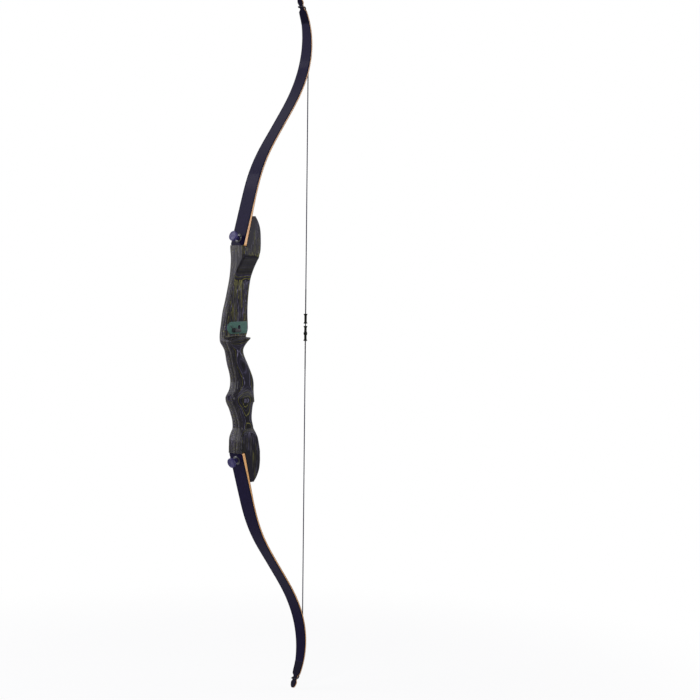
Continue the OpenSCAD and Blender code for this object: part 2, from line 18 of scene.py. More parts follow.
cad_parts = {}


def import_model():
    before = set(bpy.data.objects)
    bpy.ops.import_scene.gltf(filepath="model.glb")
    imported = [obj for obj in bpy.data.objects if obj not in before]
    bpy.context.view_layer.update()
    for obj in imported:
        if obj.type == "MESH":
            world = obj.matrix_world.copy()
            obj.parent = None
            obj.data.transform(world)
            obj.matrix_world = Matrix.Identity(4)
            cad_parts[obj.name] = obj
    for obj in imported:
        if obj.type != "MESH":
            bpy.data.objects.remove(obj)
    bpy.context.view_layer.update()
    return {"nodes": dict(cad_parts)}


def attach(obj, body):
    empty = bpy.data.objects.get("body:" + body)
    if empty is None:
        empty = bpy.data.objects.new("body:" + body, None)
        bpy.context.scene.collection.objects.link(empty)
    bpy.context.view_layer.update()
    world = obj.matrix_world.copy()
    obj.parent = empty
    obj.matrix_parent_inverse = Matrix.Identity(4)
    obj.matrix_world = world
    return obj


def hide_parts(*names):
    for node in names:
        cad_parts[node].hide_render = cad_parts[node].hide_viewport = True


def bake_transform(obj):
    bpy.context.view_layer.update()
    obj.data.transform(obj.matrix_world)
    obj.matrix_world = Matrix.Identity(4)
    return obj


MM = 0.001
ORIGIN, X_WAY, Y_WAY, Z_WAY = Vector((0, 0, 0)), Vector((1, 0, 0)), Vector((0, 1, 0)), Vector((0, 0, 1))
WHITE = (1, 1, 1, 1)
LOG = logging.getLogger("recurve_bow")
Point = tuple[float, float]
Triple = tuple[float, float, float]
Colour = tuple[float, float, float, float]
Zone = tuple[float, float, float, float]
Rule = Callable[[float], float]
Corner = bmesh.types.BMVert
Object = bpy.types.Object
Material = bpy.types.Material
Node = bpy.types.Node
Socket = bpy.types.NodeSocket


class Side(Enum):
    """The two halves of the bow, by the sign of their height."""

    UPPER = 1
    LOWER = -1

    @property
    def prefix(self) -> str:
        """Start of the names of this half's nodes and bodies."""
        return self.name.lower()

    def place(self, x: float, y: float, z: float) -> Vector:
        """Point of this half in metres, from the upper half's millimetres."""
        return Vector((x, y, z * self.value)) * MM


class Rounded(Enum):
    """The face of a lamination whose long corners are rounded."""

    NEITHER = "neither"
    BACK = "back"
    BELLY = "belly"


def ramp(start: float, end: float, x: float) -> float:
    """Smooth step from 0 at start to 1 at end."""
    t = max(0.0, min(1.0, (x - start) / (end - start)))
    return t * t * (3 - 2 * t)


def hill(zone: Zone, x: float) -> float:
    """1 between a zone's middle two values, with a smooth step on either side."""
    return ramp(zone[0], zone[1], x) * (1 - ramp(zone[2], zone[3], x))


def mix(a: float, b: float, t: float) -> float:
    """Value between a and b at share t."""
    return a + (b - a) * t


def spread(start: float, end: float, step: float) -> list[float]:
    """Even values from start to end, both included, no further apart than step."""
    count = max(1, math.ceil(abs(end - start) / step))
    return [mix(start, end, i / count) for i in range(count + 1)]


def arc(centre: Point, radius: float, start: float, end: float, step: float) -> list[Point]:
    """Points of an arc between two angles in degrees."""
    turns = [math.radians(a) for a in spread(start, end, step)]
    return [(centre[0] + radius * math.cos(a), centre[1] + radius * math.sin(a)) for a in turns]


def linear(code: str) -> Colour:
    """Colour for a shader from a six-digit screen colour.

    Args:
        code: red, green and blue as hexadecimal digits.

    Returns:
        The colour in linear light, with full alpha.
    """
    parts = [int(code[i:i + 2], 16) / 255 for i in (0, 2, 4)]
    flat = [c / 12.92 if c <= 0.04045 else ((c + 0.055) / 1.055) ** 2.4 for c in parts]
    return flat[0], flat[1], flat[2], 1.0


# Shading


def maths(operation: str, swapped: bool = False) -> Callable[..., "Value"]:
    """Makes a method of a value that adds a Math node.

    Args:
        operation: the node's operation.
        swapped: whether the value itself comes last.

    Returns:
        The method.
    """
    def method(*values: Any) -> "Value":
        """Result of the operation."""
        inputs = dict(enumerate(reversed(values) if swapped else values))
        return values[0].graph.value("ShaderNodeMath", {"operation": operation}, inputs)

    return method


class Value:
    """A number in a node tree; each operator used on it adds a Math node."""

    __add__ = __radd__ = maths("ADD")
    __sub__ = maths("SUBTRACT")
    __rsub__ = maths("SUBTRACT", swapped=True)
    __mul__ = __rmul__ = maths("MULTIPLY")
    __truediv__ = maths("DIVIDE")
    larger = maths("MAXIMUM")
    floor = maths("FLOOR")
    fraction = maths("FRACT")
    absolute = maths("ABSOLUTE")

    def __init__(self, graph: "Graph", socket: Socket) -> None:
        """Keeps the tree and the output socket that carries the number."""
        self.graph, self.socket = graph, socket

    def step(self, start: float, end: float) -> "Value":
        """Smooth step of this value from 0 at start to 1 at end."""
        return self.graph.value("ShaderNodeMapRange", {"interpolation_type": "SMOOTHSTEP"},
                                {"Value": self, "From Min": start, "From Max": end})

    def band(self, start: float, full: float, fading: float, end: float) -> "Value":
        """1 between full and fading, with a smooth step on either side."""
        return self.step(start, full) * (1 - self.step(fading, end))


class Graph:
    """A node tree under construction."""

    def __init__(self, tree: bpy.types.NodeTree) -> None:
        """Keeps the tree."""
        self.tree = tree

    def node(self, kind: str, settings: dict[str, Any], inputs: dict[Any, Any]) -> Node:
        """Adds a node.

        Args:
            kind: the node's type.
            settings: properties set first; "stops" holds a ramp's places and colours, in flat bands.
            inputs: values or links, by the socket's name or number.

        Returns:
            The new node.
        """
        made = self.tree.nodes.new(kind)
        for key, setting in settings.items():
            if key == "stops":
                stops = made.color_ramp.elements
                while len(stops) < len(setting):
                    stops.new(0.5)
                for stop, (place, colour) in zip(stops, setting):
                    stop.position, stop.color = place, colour
                made.color_ramp.interpolation = "CONSTANT"
            else:
                setattr(made, key, setting)
        self.feed(made, inputs)
        return made

    def feed(self, node: Node, inputs: dict[Any, Any]) -> None:
        """Sets or links sockets of a node.

        Args:
            node: the node.
            inputs: values or links, by the socket's name or number.
        """
        for key, given in inputs.items():
            link = given.socket if isinstance(given, Value) else given
            if isinstance(link, Socket):
                self.tree.links.new(link, node.inputs[key])
            else:
                node.inputs[key].default_value = given

    def value(self, kind: str, settings: dict[str, Any], inputs: dict[Any, Any]) -> Value:
        """First output of a new node, as a number."""
        return Value(self, self.node(kind, settings, inputs).outputs[0])

    def seen(self) -> Value:
        """Whether a ray comes from the camera, from gloss or through glass.

        Returns:
            1 for such a ray, 0 for the rest.
        """
        path = self.node("ShaderNodeLightPath", {}, {}).outputs
        rays = [Value(self, path[f"Is {kind} Ray"]) for kind in ("Camera", "Glossy", "Transmission")]
        return rays[0].larger(rays[1]).larger(rays[2])

    def between(self, share: Value, a: Node, b: Node, out: Node) -> None:
        """Shows surface or background a turned into b by a share, through the output node."""
        both = self.node("ShaderNodeMixShader", {}, {0: share, 1: a.outputs[0], 2: b.outputs[0]})
        self.feed(out, {0: both.outputs[0]})


class Shader(Graph):
    """A node material under construction, with one glossy or matt surface."""

    def __init__(self, name: str) -> None:
        """Starts a material that holds a Principled surface, and reads its place on the object.

        Args:
            name: the material's name.
        """
        self.material = bpy.data.materials.new(name)
        self.material.use_nodes = True
        super().__init__(self.material.node_tree)
        self.surface = next(n for n in self.tree.nodes if n.type == "BSDF_PRINCIPLED")
        self.place = self.node("ShaderNodeTexCoord", {}, {}).outputs["Object"]

    def split(self) -> list[Value]:
        """Place on the object along X, Y and Z, in metres."""
        return [Value(self, out) for out in self.node("ShaderNodeSeparateXYZ", {}, {0: self.place}).outputs]

    def noise(self, waves: Triple, detail: float, rough: float = 0.5) -> Value:
        """Soft noise around one half.

        Args:
            waves: how many waves it has to a metre along X, Y and Z.
            detail: how many finer layers it has.
            rough: share of the finer layers.

        Returns:
            The noise.
        """
        scaled = self.node("ShaderNodeVectorMath", {"operation": "MULTIPLY"}, {0: self.place, 1: waves})
        inputs = {"Vector": scaled.outputs[0], "Scale": 1.0, "Detail": detail, "Roughness": rough}
        return self.value("ShaderNodeTexNoise", {}, inputs)

    def random(self, number: Value) -> Value:
        """A random number from 0 to 1 for each whole number."""
        return self.value("ShaderNodeTexWhiteNoise", {"noise_dimensions": "1D"}, {"W": number})

    def rim(self) -> Value:
        """Share of edge colour that the mesh carries."""
        return Value(self, self.node("ShaderNodeAttribute", {"attribute_name": "rim"}, {}).outputs["Fac"])

    def bands(self, place: Value, shades: Sequence[str]) -> Socket:
        """One of several screen colours, in equal bands of a place from 0 to 1."""
        stops = [(k / len(shades), linear(shade)) for k, shade in enumerate(shades)]
        return self.node("ShaderNodeValToRGB", {"stops": stops}, {0: place}).outputs[0]

    def blend(self, share: Any, a: Any, b: Any) -> Socket:
        """Colour a turned into colour b by a share; each is a link, a shader's or a screen colour."""
        a, b = (linear(given) if isinstance(given, str) else given for given in (a, b))
        return self.node("ShaderNodeMix", {"data_type": "RGBA"}, {0: share, 6: a, 7: b}).outputs[2]

    def bump(self, height: Value, depth: float, strength: float) -> Socket:
        """Normal of a surface with a height pattern, whose 1 stands for a depth in millimetres."""
        inputs = {"Strength": strength, "Distance": depth * MM, "Height": height}
        return self.node("ShaderNodeBump", {}, inputs).outputs[0]

    def finish(self, **inputs: Any) -> Material:
        """Sets the surface, with spaces in socket names written as _, and returns the material."""
        self.feed(self.surface, {key.replace("_", " "): given for key, given in inputs.items()})
        return self.material


@dataclass(frozen=True)
class VeneerLacquer:
    """Dark dyed veneers, stacked across the bow and sealed under gloss lacquer.

    Its zones and waves are in metres; a sheet and the depth of the seat are in millimetres.
    """

    sheet: float = 0.56
    offset: float = -1.4
    sway: float = 0.0024
    ripple: float = 0.0004
    wall_ripple: float = 0.0036
    foot_ripple: float = 0.002
    black: str = "040305"
    plum: str = "1c1926"
    lines: tuple[str, ...] = ("9690ae", "a19d4a", "4c4860", "a19d4a", "9690ae", "4c4860")
    seat: str = "110e18"
    seat_depth: float = 13.0
    wall_zone: Zone = (0.015, 0.04, 0.13, 0.155)
    upper_fin: Point = (0.2, 0.215)
    lower_fin: Point = (-0.195, -0.175)
    # Heights and depths across the bow of the painted shade under the window's roof
    vault_shade_zone: Zone = (0.15, 0.156, 0.197, 0.2)
    vault_shade_depth: Point = (-0.003, 0.001)
    # Heights and depths across the bow of the painted shade on the lower fin's near face
    fin_shade_zone: Point = (-0.2, -0.17)
    fin_shade_face: Point = (-0.0185, -0.0165)

    def seat_share(self, s: Shader) -> Value:
        """Share of the dark band on the riser under the limbs' butts.

        Args:
            s: the shader.

        Returns:
            1 in the facing, 0 elsewhere.
        """
        line = LimbLine()
        a = math.radians(line.butt_lean)
        x, _, z = s.split()
        out = x + line.butt_x * MM
        up = z.absolute() - line.butt_z * MM
        depth = out * math.cos(a) - up * math.sin(a)
        along = out * math.sin(a) + up * math.cos(a)
        fall = (line.butt_t - line.mid_t) / line.wedge_end
        under = depth + along * fall - (line.butt_t + self.seat_depth) * MM
        return (1 - under.step(-0.0006, 0.0006)) * along.step(-0.0012, -0.0002)

    def material(self) -> Material:
        """Stripes along Y, bent by the wood, with grain flecks along the bow, and painted shade that dims the
        lines under the window's roof and on the lower fin's near face.

        Returns:
            The material.
        """
        s = Shader("riser_veneer")
        _, y, z = s.split()
        sway = s.noise((36, 36, 9), 2) - 0.5
        ripple = s.noise((380, 380, 14), 1) - 0.5
        open_wall = z.band(*self.wall_zone) + z.step(*self.upper_fin)
        foot = 1 - z.step(*self.lower_fin)
        wild = open_wall * self.wall_ripple + foot * self.foot_ripple + self.ripple
        level = (y + sway * self.sway + ripple * wild) / (self.sheet * MM) + self.offset
        layer = level.floor()
        streak = s.noise((1300, 1300, 42), 3, 0.6)
        dyed = s.random(layer + 33.0)
        body = s.blend(dyed * dyed * 0.85 + streak * 0.1, self.black, self.plum)
        kind = s.bands(((layer + 0.5) / len(self.lines)).fraction(), self.lines)
        line = 1 - (level.fraction() - 0.5).absolute().step(0.05, 0.15)
        patch = s.noise((90, 90, 26), 1)
        # Painted shade: the lines dim by 70% under the window's roof
        vault_shade = z.band(*self.vault_shade_zone) * (1 - y.step(*self.vault_shade_depth))
        # Painted shade: the lines dim by 60% near the lower fin's face on the -Y side, towards the foot
        fin_shade = (1 - z.step(*self.fin_shade_zone)) * (1 - y.step(*self.fin_shade_face))
        shown = line * (0.65 + 0.35 * streak.step(0.36, 0.58)) * (0.5 + 0.5 * patch.step(0.36, 0.58))
        group = s.random((level / 4).floor() + 9.7)
        shown = shown * (0.1 + 1.1 * group) * (1 - vault_shade * 0.7) * (1 - fin_shade * 0.6)
        colour = s.blend(self.seat_share(s), s.blend(shown, body, kind), self.seat)
        return s.finish(Base_Color=colour, Roughness=0.5 + streak * 0.1, Specular_IOR_Level=0.02,
                        Coat_Weight=1.0, Coat_Roughness=0.1, Coat_IOR=1.17,
                        Normal=s.bump(streak, 0.01, 0.05))


@dataclass(frozen=True)
class LimbGlass:
    """Dark glass laminate under gloss, with its fibres along the limb."""

    name: str = "limb_glass"
    base: str = "120f22"
    pale: str = "1d1832"
    edge: str = "0a0d20"
    gloss: float = 1.09

    def material(self) -> Material:
        """Near-black purple with long faint fibres.

        Returns:
            The material.
        """
        s = Shader(self.name)
        fibre = s.noise((500, 1500, 12), 3, 0.6)
        cloud = s.noise((14, 14, 5), 2)
        colour = s.blend(fibre.step(0.35, 0.75) * 0.5 + cloud * 0.3, self.base, self.pale)
        colour = s.blend(s.rim() * 0.85, colour, self.edge)
        return s.finish(Base_Color=colour, Roughness=0.4 + fibre * 0.1, Specular_IOR_Level=0.0,
                        Coat_Weight=1.0, Coat_Roughness=0.1, Coat_IOR=self.gloss,
                        Normal=s.bump(fibre, 0.01, 0.15))


@dataclass(frozen=True)
class MapleLacquer:
    """Lacquered maple laminations, seen on a limb's edges."""

    pale: str = "d39c56"
    warm: str = "b57c36"
    dark: str = "4f2f14"
    glue: str = "4a3018"

    def material(self) -> Material:
        """Pale wood with lines along the limb and short dark flecks.

        Returns:
            The material.
        """
        s = Shader("maple")
        grain = s.noise((900, 60, 30), 3, 0.6)
        fleck = s.noise((300, 150, 260), 2, 0.6).step(0.58, 0.66)
        colour = s.blend(grain.step(0.35, 0.7), self.pale, self.warm)
        colour = s.blend(fleck * 0.6, colour, self.dark)
        colour = s.blend(s.rim() * 0.8, colour, self.glue)
        return s.finish(Base_Color=colour, Roughness=0.42 + grain * 0.1, Coat_Weight=0.6, Coat_Roughness=0.12,
                        Normal=s.bump(grain, 0.02, 0.3))


@dataclass(frozen=True)
class MouldedPlastic:
    """Moulded or anodised part with a fine skin."""

    name: str
    base: str
    worn: str
    roughness: float
    coat: float
    grain: float = 2600.0
    shine: float = 0.25

    def material(self) -> Material:
        """One colour with faint clouds, and a fine moulded grain.

        Returns:
            The material.
        """
        s = Shader(self.name)
        skin = s.noise((self.grain,) * 3, 2)
        cloud = s.noise((170, 170, 170), 3)
        colour = s.blend(cloud.step(0.35, 0.75) * 0.6, self.base, self.worn)
        return s.finish(Base_Color=colour, Roughness=self.roughness + skin * 0.12,
                        Specular_IOR_Level=self.shine, Coat_Weight=self.coat, Coat_Roughness=0.12,
                        Coat_IOR=1.3, Normal=s.bump(skin, 0.02, 0.3))


@dataclass(frozen=True)
class TurnedMetal:
    """Metal turned on a lathe, with fine tool rings."""

    name: str
    base: str
    dull: str
    roughness: float = 0.28

    def material(self) -> Material:
        """Metal with fine streaks and dull clouds.

        Returns:
            The material.
        """
        s = Shader(self.name)
        rings = s.noise((2400, 900, 900), 2, 0.7)
        cloud = s.noise((240, 240, 240), 3)
        colour = s.blend(cloud.step(0.4, 0.8) * 0.6, self.base, self.dull)
        return s.finish(Base_Color=colour, Metallic=1.0, Roughness=self.roughness + rings * 0.2,
                        Normal=s.bump(rings, 0.01, 0.3))


@dataclass(frozen=True)
class Felt:
    """Short dense felt."""

    base: str = "3f6558"
    deep: str = "2c4a41"
    matted: str = "587f70"

    def material(self) -> Material:
        """Matted fibres with a soft sheen.

        Returns:
            The material.
        """
        s = Shader("green_felt")
        fibre = s.noise((1900, 1900, 1900), 4, 0.7)
        mat = s.noise((260, 260, 260), 3)
        colour = s.blend(fibre.step(0.3, 0.75), self.deep, self.base)
        colour = s.blend(mat.step(0.4, 0.8) * 0.35, colour, self.matted)
        return s.finish(Base_Color=colour, Roughness=0.95, Sheen_Weight=0.35, Sheen_Roughness=0.5,
                        Specular_IOR_Level=0.2, Normal=s.bump(fibre, 0.16, 0.8))


@dataclass(frozen=True)
class Thread:
    """Waxed or wound synthetic thread."""

    name: str
    base: str
    pale: str
    roughness: float = 0.5

    def material(self) -> Material:
        """Fine filaments along the thread, with waxy patches.

        Returns:
            The material.
        """
        s = Shader(self.name)
        filament = s.noise((3600, 3600, 700), 3, 0.6)
        wax = s.noise((90, 90, 60), 2)
        colour = s.blend(filament.step(0.35, 0.75) * 0.7 + wax * 0.2, self.base, self.pale)
        return s.finish(Base_Color=colour, Roughness=self.roughness + wax * 0.2, Specular_IOR_Level=0.2,
                        Normal=s.bump(filament, 0.04, 0.5))


def made_as(kind: Any) -> Any:
    """Field whose material is made, as one kind of finish, when the bow's finishes are."""
    return field(default_factory=kind.material)


@dataclass
class Finishes:
    """Every finish of the bow, made once and shared by its pieces."""

    riser: Material = made_as(VeneerLacquer())
    glass: Material = made_as(LimbGlass())
    overlay: Material = made_as(LimbGlass("tip_overlay_gloss", "0f0d18", "1b182a", gloss=1.06))
    maple: Material = made_as(MapleLacquer())
    knob: Material = made_as(MouldedPlastic("knob_violet", "221c48", "2d2658", 0.34, 0.15))
    black_steel: Material = made_as(MouldedPlastic("black_enamel", "15141a", "211f28", 0.22, 0.8))
    steel: Material = made_as(TurnedMetal("plain_steel", "a9a9ae", "7e7e84"))
    brass: Material = made_as(TurnedMetal("turned_brass", "b49a5a", "8c733c"))
    dark_brass: Material = made_as(TurnedMetal("blackened_brass", "2c2934", "1a181f", 0.3))
    felt: Material = made_as(Felt())
    rest: Material = made_as(MouldedPlastic("rest_black", "121216", "1d1d22", 0.42, 0.2))
    rubber: Material = made_as(
        MouldedPlastic("guard_rubber", "090b08", "121510", 0.62, 0.0, grain=3400.0, shine=0.08))
    string: Material = made_as(Thread("waxed_string", "0b0c1c", "20203e"))
    serving: Material = made_as(Thread("wound_serving", "0b0b14", "1f1e30", 0.42))


# Mesh building


def corners_of(made: dict[str, Any]) -> list[Corner]:
    """The corners among what an operator made."""
    return [g for g in made["geom"] if isinstance(g, Corner)]


class Workpiece:
    """A bmesh in the making and the steps that are used on many pieces."""

    def __init__(self) -> None:
        """Starts with nothing on the bench."""
        self.bm = bmesh.new()

    def ring(self, section: Sequence[Vector]) -> list[Corner]:
        """Lays a circle of the bench on a section.

        Args:
            section: places of the circle's corners, in order.

        Returns:
            The corners, in order round the circle.
        """
        made = bmesh.ops.create_circle(self.bm, cap_ends=False, segments=len(section), radius=1.0)["verts"]
        ring, seen = [made[0]], {made[0]}
        while len(ring) < len(made):
            around = (e.other_vert(ring[-1]) for e in ring[-1].link_edges)
            after = next(v for v in around if v not in seen)
            ring.append(after)
            seen.add(after)
        for corner, place in zip(ring, section):
            corner.co = place
        return ring

    def edges_of(self, ring: Sequence[Corner]) -> list[bmesh.types.BMEdge]:
        """Edges round a closed ring of corners."""
        return [self.bm.edges.get(pair) for pair in zip(ring, [*ring[1:], ring[0]])]

    def draw_out(self, sections: Sequence[Sequence[Vector]]) -> None:
        """Extrudes a ring from section to section, and closes the ends.

        Args:
            sections: rings of points, all of one count.
        """
        first = ring = self.ring(sections[0])
        for section in sections[1:]:
            fresh = set(corners_of(bmesh.ops.extrude_edge_only(self.bm, edges=self.edges_of(ring))))
            ring = [next(e.other_vert(v) for e in v.link_edges if e.other_vert(v) in fresh) for v in ring]
            for corner, place in zip(ring, section):
                corner.co = place
        for end in (first, ring):
            bmesh.ops.edgeloop_fill(self.bm, edges=self.edges_of(end))

    def slab(self, outline: Sequence[Vector], away: Triple) -> list[Corner]:
        """Extrudes a flat outline.

        Args:
            outline: its corners.
            away: way of the extrusion.

        Returns:
            The corners of the far face.
        """
        face = self.bm.faces.new([self.bm.verts.new(corner) for corner in outline])
        far = corners_of(bmesh.ops.extrude_face_region(self.bm, geom=[face]))
        bmesh.ops.translate(self.bm, vec=away, verts=far)
        return far

    def turned(self, profile: Sequence[Point], axis_at: Vector, axis: Vector, sides: int = 48) -> None:
        """Spins a closed profile round an axis.

        Args:
            profile: radius and distance along the axis of each corner; a radius of 0 closes a pole.
            axis_at: place of distance 0, in metres.
            axis: direction of the axis.
            sides: flats round the turn.
        """
        along = axis.normalized()
        out = along.orthogonal().normalized()
        corners = [self.bm.verts.new(axis_at + (out * r + along * t) * MM) for r, t in profile]
        edges = [self.bm.edges.new((a, b)) for a, b in zip(corners, corners[1:])]
        if profile[0][0] > 0 or profile[-1][0] > 0:
            edges.append(self.bm.edges.new((corners[-1], corners[0])))
        bmesh.ops.spin(self.bm, geom=corners + edges, cent=axis_at, axis=along, angle=math.tau, steps=sides,
                       use_merge=True, use_normal_flip=False, use_duplicate=False)
        bmesh.ops.remove_doubles(self.bm, verts=self.bm.verts, dist=1e-7)

    def coil(self, radius: float, wire: float, pitch: float, length: float, sides: int = 5,
             steps: int = 12) -> None:
        """Winds a thread round the Z axis, from z = 0 up, in blocks of a few turns.

        Args:
            radius: distance of the thread's middle from the axis.
            wire: radius of the thread.
            pitch: rise in one turn.
            length: height of the winding.
            sides: flats round the thread.
            steps: parts in one turn.
        """
        block = 4
        turns = max(block, block * round((length - 2 * wire) / pitch / block))
        rise = (length - 2 * wire) / turns
        flats = [math.tau * i / sides for i in range(sides)]
        made = self.ring([Vector((radius + wire * math.cos(a), 0, wire + wire * math.sin(a))) * MM
                          for a in flats])
        bmesh.ops.spin(self.bm, geom=made + self.edges_of(made), cent=(0, 0, 0), axis=(0, 0, 1),
                       dvec=(0, 0, rise / steps * MM), angle=math.tau * block, steps=steps * block,
                       use_merge=False, use_normal_flip=False, use_duplicate=False)
        wound = self.bm.verts[:] + self.bm.edges[:] + self.bm.faces[:]
        for k in range(1, turns // block):
            copy = bmesh.ops.duplicate(self.bm, geom=wound)
            bmesh.ops.translate(self.bm, vec=(0, 0, rise * block * k * MM), verts=corners_of(copy))
        bmesh.ops.remove_doubles(self.bm, verts=self.bm.verts, dist=5e-6)
        bmesh.ops.holes_fill(self.bm, edges=[e for e in self.bm.edges if e.is_boundary], sides=0)

    def rod(self, radius: float, places: Sequence[float], sides: int, twist: float = 0.0, lobes: int = 0,
            lobe: float = 0.0) -> None:
        """A rod along Z, with turned lobes if asked.

        Args:
            radius: radius over the lobes.
            places: heights of its rings.
            sides: flats round the rod.
            twist: turn of the lobes for each millimetre, in radians.
            lobes: strands that show round the rod.
            lobe: depth of the valleys between strands.
        """
        flats = [math.tau * i / sides for i in range(sides)]
        reach = [radius - lobe * (1 - abs(math.cos(lobes * a / 2))) for a in flats]
        self.draw_out([[Vector((r * math.cos(a + twist * z), r * math.sin(a + twist * z), z)) * MM
                        for a, r in zip(flats, reach)] for z in places])

    def follow(self, path: Sequence[Vector], level: Vector) -> None:
        """Bends what stands on the Z axis from z = 0 up onto a path.

        Args:
            path: points in metres, close together.
            level: direction that the path's sections keep in view.
        """
        lengths = [0.0]
        for a, b in zip(path, path[1:]):
            lengths.append(lengths[-1] + (b - a).length)
        last = len(path) - 1
        tangents = [(path[min(last, i + 1)] - path[max(0, i - 1)]).normalized() for i in range(len(path))]
        for v in self.bm.verts:
            z = max(0.0, min(lengths[-1], v.co.z))
            i = max(0, min(last - 1, bisect_left(lengths, z) - 1))
            t = (z - lengths[i]) / max(1e-12, lengths[i + 1] - lengths[i])
            along = tangents[i].lerp(tangents[i + 1], t).normalized()
            side = along.cross(level).normalized()
            over = along.cross(side).normalized()
            v.co = path[i].lerp(path[i + 1], t) + side * v.co.x + over * v.co.y

    def move(self, matrix: Matrix) -> "Workpiece":
        """Moves all of the piece, and returns it."""
        bmesh.ops.transform(self.bm, matrix=matrix, verts=self.bm.verts)
        return self

    def take(self, other: "Workpiece") -> None:
        """Takes all of another piece over, and clears its bench.

        Args:
            other: the other piece.
        """
        mesh = bpy.data.meshes.new("part")
        other.bm.to_mesh(mesh)
        other.bm.free()
        self.bm.from_mesh(mesh)
        bpy.data.meshes.remove(mesh)

    def done(self, name: str, finish: Material, crease: float = 38.0,
             rim: Callable[[Vector], float] | None = None) -> Object:
        """Makes the object.

        Args:
            name: the piece's name.
            finish: its material.
            crease: angle in degrees past which an edge stays sharp.
            rim: share of edge colour at a place, if the finish reads one.

        Returns:
            The object, linked to the scene, with its place in its mesh.
        """
        bmesh.ops.recalc_face_normals(self.bm, faces=self.bm.faces)
        mesh = bpy.data.meshes.new(name)
        self.bm.to_mesh(mesh)
        self.bm.free()
        for face in mesh.polygons:
            face.use_smooth = True
        mesh.set_sharp_from_angle(angle=math.radians(crease))
        if rim is not None:
            values = mesh.attributes.new("rim", "FLOAT", "POINT")
            for i, v in enumerate(mesh.vertices):
                values.data[i].value = rim(v.co)
        mesh.materials.append(finish)
        obj = bpy.data.objects.new(name, mesh)
        bpy.context.scene.collection.objects.link(obj)
        return obj


def cut(obj: Object, tools: Sequence[Workpiece], crease: float = 38.0) -> None:
    """Cuts closed tools out of a piece, and applies the cuts.

    Args:
        obj: the piece.
        tools: benches that hold the closed shapes to take away.
        crease: angle in degrees past which an edge stays sharp.
    """
    blades = []
    for i, tool in enumerate(tools):
        blades.append(tool.done(f"{obj.name}_blade_{i}", obj.data.materials[0]))
        mod = obj.modifiers.new(f"cut_{i}", "BOOLEAN")
        mod.operation, mod.solver, mod.object = "DIFFERENCE", "EXACT", blades[-1]
    bpy.context.view_layer.update()
    graph = bpy.context.evaluated_depsgraph_get()
    mesh = bpy.data.meshes.new_from_object(obj.evaluated_get(graph))
    obj.modifiers.clear()
    obj.data = mesh
    mesh.name = obj.name
    mesh.set_sharp_from_angle(angle=math.radians(crease))
    for blade in blades:
        bpy.data.objects.remove(blade)


def drill(at: Vector, axis: Vector, radius: float, length: float) -> Workpiece:
    """A round cutter.

    Args:
        at: its start, in metres.
        axis: its direction.
        radius: its radius.
        length: its length.

    Returns:
        The cutter on its bench.
    """
    tool = Workpiece()
    tool.turned([(0, 0), (radius, 0), (radius, length), (0, length)], at, axis)
    return tool


def settle(obj: Object, body: str, slot: str, *nodes: str) -> None:
    """Puts a piece on its body, in place of the nodes that it stands for.

    Args:
        obj: the piece.
        body: the body that carries it.
        slot: not used.
        nodes: the nodes.
    """
    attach(obj, body)
    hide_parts(*nodes)
    LOG.info("  %s rides %s", obj.name, body)


# Limbs


